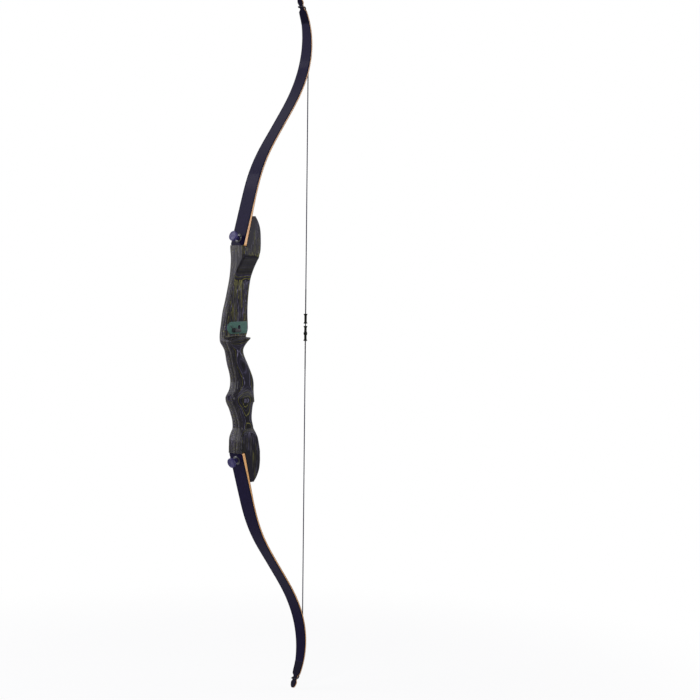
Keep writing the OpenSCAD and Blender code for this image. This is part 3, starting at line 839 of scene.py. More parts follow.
@dataclass
class LimbLine:
    """Line of a limb's back face from butt end to tip end, with its widths and thicknesses."""

    butt_x: float = 13.0
    butt_z: float = 224.7
    length: float = 605.0
    butt_lean: float = 17.3
    steep_lean: float = 37.2
    recurve: float = 59.0
    bend: Point = (105.0, 265.0)
    turn: Point = (322.0, 565.0)
    turn_power: float = 1.65
    butt_w: float = 40.5
    mid_w: float = 34.0
    tip_w: float = 19.0
    least_w: float = 0.8
    taper: Point = (100.0, 300.0)
    tip_taper: float = 400.0
    butt_t: float = 9.5
    mid_t: float = 4.6
    tip_t: float = 3.8
    wedge_end: float = 110.0
    glass: float = 1.0
    overlay: float = 1.6
    overlay_edge: float = 0.12
    overlay_from: float = 545.0
    overlay_run: float = 18.0
    nock_at: float = 583.0
    nock_neck: float = 10.0
    nock_run: float = 7.0
    bead_w: float = 14.8
    bead_run: float = 5.0
    tip_round: float = 14.0
    groove_half: float = 4.2
    butt_corner: float = 4.0
    step: float = 2.0
    points: list[Point] = field(init=False)

    def __post_init__(self) -> None:
        """Walks the line in equal steps."""
        x, z, s = -self.butt_x, self.butt_z, 0.0
        self.points = []
        while s <= self.length + 2 * self.step:
            self.points.append((x, z))
            a = math.radians(self.lean(s + self.step / 2))
            x, z, s = x + self.step * math.sin(a), z + self.step * math.cos(a), s + self.step

    def lean(self, s: float) -> float:
        """Lean of the limb from upright at an arc length.

        Args:
            s: arc length from the butt end.

        Returns:
            The lean in degrees.
        """
        turned = max(0.0, min(1.0, (s - self.turn[0]) / (self.turn[1] - self.turn[0])))
        steep = self.butt_lean + (self.steep_lean - self.butt_lean) * ramp(*self.bend, s)
        return steep - self.recurve * turned ** self.turn_power

    def spot(self, side: Side, s: float, depth: float, y: float = 0.0) -> Vector:
        """Place in a limb.

        Args:
            side: which limb.
            s: arc length from the butt end.
            depth: depth from the back face.
            y: distance from the middle line.

        Returns:
            The place in metres.
        """
        i = max(0, min(len(self.points) - 2, int(s // self.step)))
        t = s / self.step - i
        a = math.radians(self.lean(s))
        x = mix(self.points[i][0], self.points[i + 1][0], t) + depth * math.cos(a)
        z = mix(self.points[i][1], self.points[i + 1][1], t) - depth * math.sin(a)
        return side.place(x, y, z)

    def inward(self, side: Side) -> Vector:
        """Direction from the back of a limb's butt to its belly."""
        a = math.radians(self.butt_lean)
        return Vector((math.cos(a), 0, -math.sin(a) * side.value))

    def thickness(self, s: float) -> float:
        """Thickness of the whole limb at an arc length.

        Args:
            s: arc length from the butt end.

        Returns:
            The thickness.
        """
        if s < self.wedge_end:
            return mix(self.butt_t, self.mid_t, s / self.wedge_end)
        return mix(self.mid_t, self.tip_t, (s - self.wedge_end) / (self.length - self.wedge_end))

    def half_width(self, s: float) -> float:
        """Half of the limb's width at an arc length, rounded at both ends.

        Args:
            s: arc length from the butt end.

        Returns:
            Half of the width.
        """
        late = max(0.0, (s - self.tip_taper) / (self.nock_at - self.tip_taper))
        plain = mix(self.butt_w, self.mid_w, ramp(*self.taper, s)) - (self.mid_w - self.tip_w) * late ** 2
        inner, outer = self.nock_at - self.groove_half, self.nock_at + self.groove_half
        if s < self.nock_at:
            width = mix(plain, self.nock_neck, ramp(inner - self.nock_run, inner, s))
        else:
            left = max(0.0, (s - self.length + self.tip_round) / self.tip_round)
            width = mix(self.nock_neck, self.bead_w, ramp(outer, outer + self.bead_run, s))
            width *= math.sqrt(max(0.0, 1 - left * left))
        if s < self.butt_corner:
            gone = self.butt_corner - s
            width -= 2 * (self.butt_corner - math.sqrt(max(0.0, self.butt_corner ** 2 - gone ** 2)))
        return max(self.least_w, width) / 2


@dataclass(frozen=True)
class Fittings:
    """Threads and places of what is let into the riser, shared by the pieces that meet there."""

    fit: float = 0.02
    room: float = 0.5
    thread_d: float = 7.94
    bolt_at: float = 16.0
    pin_at: float = 50.0
    insert_d: float = 12.7
    pin_d: float = 6.0
    stabilizer_z: float = -103.0
    stabilizer_d: float = 14.0
    plunger_x: float = -2.2
    plunger_z: float = 48.4
    plunger_d: float = 11.0
    sight_x: float = 2.0
    sight_z: Point = (106.0, 139.3)
    sight_d: float = 8.0


@dataclass
class Limb:
    """One limb: glass, core and wedge from the butt to the tip, with its overlay and string loop."""

    side: Side
    finishes: Finishes
    line: LimbLine = field(default_factory=LimbLine)
    fittings: Fittings = Fittings()
    served: float = 1.5
    thread: float = 0.3
    bolt_hole: float = 4.57
    key_hole: float = 3.8
    bend_start: float = 70.0
    bend_end: float = 300.0
    corner: float = 0.8
    core_shrink: float = 0.12
    rim_zone: Point = (2.2, 0.7)
    ring_steps: Triple = (0.4, 1.2, 4.0)
    ring_zones: Point = (2.5, 8.0)
    groove_zone: float = 560.0
    key_depth: float = 3.5
    core_inset: float = 0.28
    string_from: float = 504.5
    throat: float = 8.0
    eye_top: float = 2.0
    eye_length: float = 11.0
    eye_clear: float = 0.4
    loop_steps: int = 96
    loop_square: float = 0.45

    def places(self, start: float, end: float) -> list[float]:
        """Arc lengths of the rings, closer at the ends of the limb and round the grooves.

        Args:
            start: first arc length.
            end: last arc length.

        Returns:
            The arc lengths.
        """
        fine, short, plain = self.ring_steps
        found = [start]
        while found[-1] < end - 1e-6:
            s = found[-1]
            near = min(abs(s - end), abs(s - start))
            step = short if s > self.groove_zone or near < self.ring_zones[1] else plain
            found.append(min(end, s + (fine if near < self.ring_zones[0] else step)))
        return found

    def layer(self, inner: Rule, outer: Rule, places: Sequence[float], rounded: Rounded = Rounded.NEITHER,
              shrink: float = 0.0) -> Workpiece:
        """A lamination between two depths.

        Args:
            inner: depth of its face towards the back, at an arc length.
            outer: depth of its face towards the belly.
            places: arc lengths of its rings.
            rounded: the face with rounded corners.
            shrink: how far its edges lie inside the limb's outline.

        Returns:
            The lamination on its bench.
        """
        sections = []
        for s in places:
            half = self.line.half_width(s) - shrink
            a, b = inner(s), outer(s)
            r = min(self.corner, half * 0.6, (b - a) * 0.8)
            flat = [half * k / 4 for k in range(-3, 4)]
            quarter = arc((half - r, r), r, 0, -90, 30)
            back = [(y, a + d) for y, d in quarter] if rounded is Rounded.BACK else [(half, a)]
            belly = [(y, b - d) for y, d in quarter] if rounded is Rounded.BELLY else [(half, b)]
            right = belly[::-1] + [(half, (a + b) / 2)] + back
            left = [(-y, d) for y, d in reversed(right)]
            ring = right + [(-y, a) for y in flat] + left + [(y, b) for y in flat]
            sections.append([self.line.spot(self.side, s, depth, y) for y, depth in ring])
        made = Workpiece()
        made.draw_out(sections)
        return made

    def edge_share(self, place: Vector) -> float:
        """How near a place lies to the limb's two edges.

        Args:
            place: the place, in metres.

        Returns:
            0 inside, 1 on an edge.
        """
        height = abs(place.z) / MM
        best = min(range(0, len(self.line.points), 4), key=lambda i: abs(self.line.points[i][1] - height))
        half = self.line.half_width(best * self.line.step)
        return ramp(half - self.rim_zone[0], half - self.rim_zone[1], abs(place.y) / MM)

    def laminate(self, obj: Object, slot: str, deep: bool, *nodes: str) -> None:
        """Drills a whole-length lamination, in place of its nodes.

        Args:
            obj: the lamination.
            slot: not used.
            deep: whether the pin's keyhole reaches it.
            nodes: the nodes.
        """
        side, line = self.side, self.line
        tools = [drill(line.spot(side, self.fittings.bolt_at, -2), line.inward(side), self.bolt_hole, 16)]
        if deep:
            at = self.fittings.pin_at
            start = line.spot(side, at, line.thickness(at) - self.key_depth)
            tools.append(drill(start, line.inward(side), self.key_hole, 6))
        cut(obj, tools)
        start, end = (line.spot(side, s, 0) for s in (self.bend_start, self.bend_end))
        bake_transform(obj)
        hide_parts(*(f"{side.prefix}_{node}" for node in nodes))
        LOG.info("  %s bends from riser to %s_limb", obj.name, side.prefix)

    def laminations(self) -> None:
        """Back glass, core with its wedge, and belly glass."""
        name, line, glass = self.side.prefix, self.line, self.line.glass
        places = self.places(0.0, line.length)
        work = self.layer(lambda s: 0.0, lambda s: glass, places, Rounded.BACK)
        back = work.done(f"{name}_back_glass", self.finishes.glass, rim=self.edge_share)
        self.laminate(back, "limb_glass", False, "butt_back_glass", "limb_back_glass")
        work = self.layer(lambda s: glass, lambda s: line.thickness(s) - glass, places,
                          shrink=self.core_shrink)
        core = work.done(f"{name}_maple_core", self.finishes.maple, rim=lambda place: 0.0)
        self.laminate(core, "maple", True, "butt_core", "butt_wedge", "limb_core")
        work = self.layer(lambda s: line.thickness(s) - glass, line.thickness, places, Rounded.BELLY)
        belly = work.done(f"{name}_belly_glass", self.finishes.glass, rim=self.edge_share)
        self.laminate(belly, "limb_glass", True, "butt_belly_glass", "limb_belly_glass")

    def overlay(self) -> None:
        """Tip overlay, feathered out on the back of the limb."""
        name, line, start = self.side.prefix, self.line, self.line.overlay_from
        end = start + line.overlay_run
        made = self.layer(lambda s: -max(line.overlay_edge, line.overlay * ramp(start, end, s)),
                          lambda s: 0.0, self.places(start, line.length), Rounded.BACK)
        obj = made.done(f"{name}_overlay", self.finishes.overlay, rim=lambda place: 0.0)
        settle(obj, f"{name}_limb", "limb_glass", f"{name}_tip_overlay")

    def belly_path(self) -> list[Vector]:
        """Way of the string over the belly, from where it meets the limb to the loop's throat."""
        line, lift = self.line, self.served + self.thread
        return [line.spot(self.side, s, line.thickness(s) + lift)
                for s in spread(self.string_from, line.nock_at - self.throat, 1.0)]

    def loop_path(self) -> list[Vector]:
        """Way of the loop round the tip, in its two grooves.

        Returns:
            Its points, in metres.
        """
        line = self.line
        reach = self.served + self.eye_clear
        thick = line.thickness(line.nock_at)
        half_w, half_t = line.nock_neck / 2 + reach, (thick + line.overlay) / 2 + reach
        found = []
        for i in range(self.loop_steps + 1):
            a = math.tau * i / self.loop_steps
            over, across = (math.copysign(abs(v) ** self.loop_square, v) for v in (math.cos(a), math.sin(a)))
            s = line.nock_at + self.eye_top - self.eye_length * ((1 + math.cos(a)) / 2) ** 2
            depth = (thick - line.overlay) / 2 + half_t * over
            found.append(line.spot(self.side, s, depth, half_w * across))
        return found

    def loop(self) -> None:
        """Served end of the string on the belly, and the eye round the tip."""
        made, tilted = Workpiece(), Vector((0.25, 0, self.side.value))
        for path, level in ((self.belly_path(), Y_WAY), (self.loop_path(), tilted)):
            length = sum((b - a).length for a, b in zip(path, path[1:])) / MM
            winding, core = Workpiece(), Workpiece()
            winding.coil(self.served - self.thread, self.thread, 2 * self.thread, length)
            core.rod(self.served - self.core_inset, spread(0, length, 1.5), 14)
            for part in (winding, core):
                part.follow(path, level)
                made.take(part)
        name = self.side.prefix
        obj = made.done(f"{name}_string_eye", self.finishes.serving, 60)
        settle(obj, f"{name}_limb", "serving", f"{name}_string_loop")

    def build(self) -> None:
        """Makes every piece of the limb."""
        self.laminations()
        self.overlay()
        self.loop()


@dataclass
class LimbBolt:
    """Knob and washer that clamp a limb's butt to the riser."""

    side: Side
    finishes: Finishes
    line: LimbLine = field(default_factory=LimbLine)
    fittings: Fittings = Fittings()
    washer_d: float = 19.5
    washer_t: float = 2.6
    hole_d: float = 8.54
    stem: float = 9.5
    stem_r: float = 5.2
    knob_d: float = 22.0
    knob_t: float = 7.5

    def washer(self) -> list[Point]:
        """Profile of the washer."""
        r, t, bore = self.washer_d / 2, self.washer_t, self.hole_d / 2
        return [(bore, 0), (r - 0.35, 0), (r, 0.35), (r, 0.9), (r - 0.5, 1.3), (r - 2.0, t - 0.25),
                (r - 2.6, t), (bore + 0.3, t), (bore, t - 0.3)]

    def knob(self) -> list[Point]:
        """Profile of the stem and the knob.

        Returns:
            Radius and distance from the limb, from the washer out.
        """
        low, bottom = self.washer_t, self.washer_t + self.stem
        top, big, small = bottom + self.knob_t, self.knob_d / 2, self.stem_r
        stem = [(0.0, low), (small - 0.4, low), (small, low + 0.4), (small, bottom - 3.2),
                (small + 0.5, bottom - 1.4), (small + 1.6, bottom - 0.2), (small + 2.6, bottom)]
        rim = [(big - 1.6, bottom + 0.25), (big - 0.6, bottom + 0.8), (big, bottom + 1.8),
               (big, bottom + 3.0), (big - 0.35, bottom + 3.25), (big - 0.35, top - 3.0), (big, top - 2.75),
               (big, top - 1.7), (big - 0.5, top - 0.6), (big - 1.5, top - 0.1), (big - 2.3, top)]
        dish = [(big - 3.0, top - 0.25), (big - 3.4, top - 0.75), (2.4, top - 0.75), (2.0, top - 0.95),
                (0.0, top - 0.95)]
        return stem + rim + dish

    def build(self) -> None:
        """Turns the washer and the knob."""
        name, finishes = self.side.prefix, self.finishes
        at, out = self.line.spot(self.side, self.fittings.bolt_at, 0), -self.line.inward(self.side)
        work = Workpiece()
        work.turned(self.washer(), at, out, 64)
        washer = work.done(f"{name}_bolt_washer", finishes.black_steel, 30)
        settle(washer, f"{name}_bolt_carrier", "black_steel", f"{name}_washer")
        work = Workpiece()
        work.turned(self.knob(), at, out, 72)
        knob = work.done(f"{name}_bolt_knob", finishes.knob, 34)
        settle(knob, f"{name}_bolt", "knob_plastic", f"{name}_knob")


# Riser


# Height, back line, belly line, half width, and radii of the back and belly edges
STATIONS = (
    (-288, -15, 25.4, 20.5, 2, 3), (-278, -15, 33.6, 20.5, 2, 3), (-262, -15, 41.2, 20.5, 2, 3),
    (-244, -15, 44, 20.5, 2, 3), (-230, -15.3, 43.8, 20.5, 2, 3), (-222, -15.4, 43.4, 20.9, 3.4, 3),
    (-214, -15.2, 42.2, 22, 3.4, 4), (-206, -15, 40.6, 22.7, 3.2, 4), (-198, -14.8, 39.1, 23.1, 3.2, 5),
    (-190, -14, 36.9, 22.6, 3.2, 5), (-179, -11.2, 32.6, 20.5, 3.4, 6), (-172, -10.2, 29.8, 18.2, 4, 6),
    (-166, -10.2, 28, 18, 4, 5), (-153, -12.6, 25.2, 17.2, 4, 5), (-140, -17.3, 24.8, 17.4, 4, 5),
    (-127, -23, 26.7, 18, 5, 5), (-119, -28.2, 28.8, 18.5, 6, 5), (-115.6, -30.3, 29.6, 18.6, 7, 4),
    (-113.6, -31.4, 30.5, 18.7, 7, 4), (-108, -33.2, 30.5, 18.8, 8, 5), (-102, -33.5, 30.5, 18.4, 8, 6),
    (-88, -24.2, 31, 16.6, 5, 6), (-75, -20.8, 31.8, 15.8, 4, 6), (-62, -20.9, 28.9, 16, 4, 6),
    (-48, -24, 22.5, 16.4, 4, 7), (-35, -28.5, 15.4, 16.8, 4, 8), (-28, -30.6, 11.4, 16.8, 4, 8),
    (-22, -32.4, 7.8, 16.6, 4, 8), (-9, -35.8, 1.6, 16, 4, 8), (0, -38.9, 0.4, 15.8, 4, 8),
    (8, -43.3, 3.4, 16.4, 4, 8), (17, -47.4, 9.7, 17.8, 4, 8), (28, -47.1, 20.4, 19.2, 4, 6),
    (42, -46, 26, 19.5, 5, 4), (55, -43.3, 26, 20, 5, 4), (80, -38.6, 24.9, 20.5, 5, 4),
    (107, -30.6, 26, 20.5, 5, 4), (133, -23.7, 29.3, 20.5, 5, 4), (158, -17.4, 34, 20.5, 4, 4),
    (184, -13.9, 36, 20.5, 3, 4), (200, -13.5, 36.4, 20.5, 3, 4), (212, -14.3, 39.6, 20.5, 2, 3),
    (226, -15, 40.8, 20.5, 2, 3), (246, -15, 40.4, 20.5, 2, 3), (262, -15, 38.2, 20.5, 2, 3),
    (277, -15, 32, 20.5, 2, 3), (288, -15, 24, 20.5, 2, 3))


@dataclass
class RiserForm:
    """Carved form of the riser: back, belly and side lines by height."""

    rows: tuple[tuple[float, ...], ...] = STATIONS
    wall: float = 3.0
    shelf: float = 26.0
    side: float = 20.5
    side_fall: float = 2.6
    side_zone: Zone = (-228, -200, 2, 20)
    heel_step: float = 1.6
    heel_zone: Zone = (-140, -116, -115.8, -114.2)
    face_fall: float = 0.8
    face_zone: Zone = (-200, -150, 10, 40)
    least_fall: float = 0.2

    def slope(self, i: int) -> list[float]:
        """Slope of every column at a row.

        Args:
            i: the row.

        Returns:
            The slopes, by column.
        """
        a, b = max(0, i - 1), min(len(self.rows) - 1, i + 1)
        rise = self.rows[b][0] - self.rows[a][0]
        return [(q - p) / rise for p, q in zip(self.rows[a], self.rows[b])]

    def at(self, z: float) -> list[float]:
        """Form at a height, on a smooth curve through the rows.

        Args:
            z: the height.

        Returns:
            Back, belly, half width, and radii of the back and belly edges.
        """
        i = max([0] + [k for k in range(len(self.rows) - 1) if self.rows[k][0] <= z])
        a, b = self.rows[i], self.rows[i + 1]
        h = b[0] - a[0]
        u = max(0.0, min(1.0, (z - a[0]) / h))
        weights = ((1 + 2 * u) * (1 - u) ** 2, u * (1 - u) ** 2 * h, u * u * (3 - 2 * u), u * u * (u - 1) * h)
        columns = list(zip(a, self.slope(i), b, self.slope(i + 1)))[1:]
        return [sum(w * c for w, c in zip(weights, column)) for column in columns]

    def side_crown(self, z: float) -> float:
        """How far the side falls away from its middle to its edges."""
        return self.side_fall * hill(self.side_zone, z)

    def heel(self, z: float) -> float:
        """How far the side steps in below the heel of the grip, on its belly half."""
        return self.heel_step * hill(self.heel_zone, z)

    def face_crown(self, z: float) -> float:
        """How far the back and belly fall away from the middle line."""
        return self.face_fall * hill(self.face_zone, z) + self.least_fall


@dataclass
class Riser:
    """Carved handle of the bow, with its pockets, window and drilled holes."""

    finishes: Finishes
    form: RiserForm = field(default_factory=RiserForm)
    line: LimbLine = field(default_factory=LimbLine)
    fittings: Fittings = Fittings()
    end: float = 288.0
    sides: int = 12
    edge_steps: int = 5
    lip: float = -19.3
    lip_r: float = 3.6
    fillet: float = 5.0
    roof_from: float = 150.0
    roof_run: float = 46.0
    roof_lean: float = 21.6
    roof_power: float = 1.55
    open_zone: Point = (8.0, 30.0)
    window_edge: Point = (5.0, 1.2)
    window_edge_zone: Point = (40.0, 190.0)
    window_belly_edge: float = 2.6
    shelf_top: float = 2.0
    shelf_peak: float = 0.6
    shelf_falls: Point = (6.0, 2.2)
    crown_fade: float = 110.0
    pocket_reach: float = 60.0
    pocket_depth: float = 120.0

    def near_edge(self) -> list[tuple[float, float, float, float]]:
        """Height on the far side, and place of the near side's face, ring by ring.

        Returns:
            Far height, near y, near height and share of the shelf's crown, from the foot up.
        """
        form, lip, deep, fillet = self.form, self.lip, self.lip_r, self.fillet
        heights = spread(-self.end, -204, 3.2) + spread(-202, -160, 2.1) + spread(-157, -119, 3.2)
        heights += spread(-118, -112, 0.8) + spread(-110, 12, 3.0)
        rings = [(z, -form.at(z)[2], z, 0.0) for z in heights]
        path = [(-form.at(15)[2], 15.0, 0.2), (-form.at(18)[2], 18.5, 0.55)]
        path += [(y, z, 1.0) for y, z in arc((lip + deep, form.shelf - deep), deep, 180, 90, 15)]
        path += [(y, form.shelf, 1.0) for y in spread(lip + deep + 2, form.wall - fillet - 1.5, 2.0)]
        inner = arc((form.wall - fillet, form.shelf + fillet), fillet, -90, 0, 15)
        path += [(y, z, 1 - 15 * k / self.crown_fade) for k, (y, z) in enumerate(inner)]
        path += [(form.wall, 34.0, 0.15), (form.wall, 37.0, 0.075)]
        for k, (y, z, crown) in enumerate(path):
            rings.append((mix(13, 39, (k + 1) / (len(path) + 1)), y, z, crown))
        rings += [(z, form.wall, z, 0.0) for z in spread(40, self.roof_from, 3.2)]
        top = [(form.wall - self.roof_lean * ((z - self.roof_from) / self.roof_run) ** self.roof_power, z)
               for z in spread(153, 195, 3.0)]
        top += [(-19.6, 196.6), (-20.2, 198.0), (-20.4, 199.2)]
        for k, (y, z) in enumerate(top):
            rings.append((mix(152, 204, (k + 1) / (len(top) + 1)), y, z, 0.0))
        rings += [(z, -form.at(z)[2], z, 0.0) for z in spread(205, self.end, 3.0)]
        return rings

    def rounding(self, radius: float, roundness: float = 1.0) -> list[Point]:
        """Distances of a rounded edge's corners from the two faces that it joins.

        Args:
            radius: its radius.
            roundness: 1 for a quarter of a circle, 0 for a flat.

        Returns:
            Pairs of distances; the first grows as the second shrinks.
        """
        found = []
        for k in range(self.edge_steps + 1):
            t = k / self.edge_steps
            a = math.pi / 2 * t
            first, second = mix(t, 1 - math.cos(a), roundness), mix(1 - t, 1 - math.sin(a), roundness)
            found.append((radius * first, radius * second))
        return found

    def shelf_rise(self, u: float) -> float:
        """How far the shelf's crown stands over its edge line.

        Args:
            u: share of the way from the back to the belly.

        Returns:
            The rise, below 0 where the shelf falls away.
        """
        off = u - self.shelf_peak
        if off < 0:
            return self.shelf_top - self.shelf_falls[0] * (off / self.shelf_peak) ** 2
        return self.shelf_top - self.shelf_falls[1] * (off / (1 - self.shelf_peak)) ** 2

    def section(self, far: float, near_y: float, near_z: float, crown: float) -> list[Vector]:
        """One ring of the riser.

        Args:
            far: height of the ring on the far side, in +Y.
            near_y: place of the near face.
            near_z: height of the ring on the near side.
            crown: share of the shelf's crown.

        Returns:
            The ring's corners, in metres.
        """
        form = self.form
        half, r_back, r_belly = form.at(far)[2:5]
        open_share = ramp(*self.open_zone, near_y + form.at(near_z)[2])
        edge = mix(r_back, mix(*self.window_edge, ramp(*self.window_edge_zone, near_z)), open_share)
        edge_belly = mix(r_belly, self.window_belly_edge, open_share)
        steps = [k / self.sides for k in range(1, self.sides)]
        ring = [(1.0, 1.0, -p, -q) for p, q in self.rounding(r_belly)]
        ring += [(1 - t, 1.0, 0.0, 0.0) for t in steps]
        ring += [(0.0, 1.0, q, -p) for p, q in self.rounding(r_back)]
        ring += [(0.0, 1 - t, 0.0, 0.0) for t in steps]
        ring += [(0.0, 0.0, p, q) for p, q in self.rounding(edge, 0.3)]
        ring += [(t, 0.0, 0.0, 0.0) for t in steps]
        ring += [(1.0, 0.0, -q, p) for p, q in self.rounding(edge_belly)]
        ring += [(1.0, t, 0.0, 0.0) for t in steps]
        found = []
        for u, v, dx, dy in ring:
            lo_x, hi_x = (r_back, r_belly) if v > 0.5 else (edge, edge_belly)
            lo_y, hi_y = (edge, r_back) if u < 0.5 else (edge_belly, r_belly)
            if u in (0.0, 1.0):
                lo_x = hi_x = 0.0
            if v in (0.0, 1.0):
                lo_y = hi_y = 0.0
            y = mix(near_y + lo_y, half - hi_y, v) + dy
            v_here = (y - near_y) / max(1e-6, half - near_y)
            z = mix(near_z, far, v_here)
            back, belly = form.at(z)[:2]
            x = mix(back + lo_x, belly - hi_x, u) + dx
            u_here = (x - back) / (belly - back)
            fall_x = form.face_crown(z) * ((y / half) ** 2)
            x = back + fall_x + u_here * (belly - back - 2 * fall_x)
            fall_y = form.side_crown(z) * (2 * u_here - 1) ** 2 + form.heel(z) * max(0.0, 2 * u_here - 1)
            y -= fall_y * (v_here if v_here > 0.5 else (v_here - 1) * (1 - open_share))
            y = max(-form.side, min(form.side, y))
            z += self.shelf_rise(u_here) * crown * max(0.0, 1 - v_here) ** 2
            found.append(Vector((x, y, z)) * MM)
        return found

    def pocket(self, side: Side) -> Workpiece:
        """Cutter for the seat of a limb's butt.

        Args:
            side: which limb.

        Returns:
            The cutter on its bench.
        """
        line, reach, deep = self.line, self.pocket_reach, self.pocket_depth
        a = math.radians(line.butt_lean)
        fall = (line.mid_t - line.butt_t) / line.wedge_end
        outline = [(-reach, -0.5), (line.butt_t - fall * 0.5, -0.5), (line.butt_t + fall * deep, deep),
                   (-reach, deep)]
        corners = [side.place(-line.butt_x + s * math.sin(a) + depth * math.cos(a), -reach,
                              line.butt_z + s * math.cos(a) - depth * math.sin(a)) for depth, s in outline]
        tool = Workpiece()
        tool.slab(corners, (0, 2 * reach * MM, 0))
        return tool

    def bores(self) -> list[Workpiece]:
        """Cutters for every drilled hole.

        Returns:
            The cutters on their benches.
        """
        line, f = self.line, self.fittings
        tools = []
        for side in Side:
            for s, radius, deep in ((f.bolt_at, f.insert_d / 2 + f.fit, 20.0),
                                    (f.bolt_at, f.thread_d / 2 + f.room, 28.0),
                                    (f.pin_at, f.pin_d / 2 + f.fit, 14.0)):
                at = line.spot(side, s, line.thickness(s) - 1)
                tools.append(drill(at, line.inward(side), radius, deep + 1))
        back = self.form.at(f.stabilizer_z)[0]
        for at, axis, width, deep in (((back - 6, 0, f.stabilizer_z), X_WAY, f.stabilizer_d, 26),
                                      ((f.plunger_x, -5, f.plunger_z), Y_WAY, f.plunger_d, 40),
                                      ((f.sight_x, 8.5, f.sight_z[0]), Y_WAY, f.sight_d, 20),
                                      ((f.sight_x, 8.5, f.sight_z[1]), Y_WAY, f.sight_d, 20)):
            tools.append(drill(Vector(at) * MM, axis, width / 2 + f.fit, deep))
        return tools

    def build(self) -> None:
        """Carves the riser."""
        body = Workpiece()
        body.draw_out([self.section(*ring) for ring in self.near_edge()])
        obj = body.done("carved_riser", self.finishes.riser, 34)
        cut(obj, [self.pocket(side) for side in Side] + self.bores(), 34)
        settle(obj, "riser", "riser_wood", "riser")


@dataclass
class Bush:
    """A threaded metal bush of the riser, from its mouth in."""

    name: str
    node: str
    mouth: Triple
    axis: Vector
    outer: float
    bore: float
    length: float
    pitch: float = 1.058
    chamfer: float = 0.5
    edge: float = 0.3
    inset: float = 0.6
    wire_share: float = 0.36

    def build(self, finish: Material) -> None:
        """Turns the bush, with a thread in its bore, in place of its node.

        Args:
            finish: its metal.
        """
        at = Vector(self.mouth) * MM
        r, b, deep, c, e = self.outer / 2, self.bore / 2, self.length, self.chamfer, self.edge
        made, thread = Workpiece(), Workpiece()
        made.turned([(b + c, 0), (r - e, 0), (r, e), (r, deep - e), (r - e, deep), (b + c, deep),
                     (b, deep - c), (b, c)], at, self.axis)
        thread.coil(b + 0.05, self.pitch * self.wire_share, self.pitch, deep - 2 * self.inset, 4, 28)
        turn = self.axis.to_track_quat("Z", "Y").to_matrix().to_4x4()
        made.take(thread.move(Matrix.Translation(at + self.axis * self.inset * MM) @ turn))
        settle(made.done(f"{self.name}_turned", finish, 30), "riser", "brass", self.node)


@dataclass
class BushSet:
    """The four threaded bushes of the riser."""

    finishes: Finishes
    fittings: Fittings = Fittings()
    stabilizer_x: float = -33.618
    stabilizer_length: float = 20.0
    sink: float = 0.6
    sight_thread: float = 4.8
    sight_length: float = 12.0
    sight_pitch: float = 0.8

    def build(self) -> None:
        """Turns every bush."""
        form, f = RiserForm(), self.fittings
        Bush("stabilizer_bush", "stabilizer_bush", (self.stabilizer_x, 0, f.stabilizer_z), X_WAY,
             f.stabilizer_d, f.thread_d, self.stabilizer_length).build(self.finishes.dark_brass)
        Bush("plunger_bush", "plunger_bush", (f.plunger_x, form.wall, f.plunger_z), Y_WAY,
             f.plunger_d, f.thread_d, form.side - form.wall - self.sink).build(self.finishes.dark_brass)
        for i, z in enumerate(f.sight_z):
            Bush(f"sight_bush_{i + 1}", "sight_bushes", (f.sight_x, form.side - self.sink, z), -Y_WAY,
                 f.sight_d, self.sight_thread, self.sight_length, self.sight_pitch).build(self.finishes.brass)


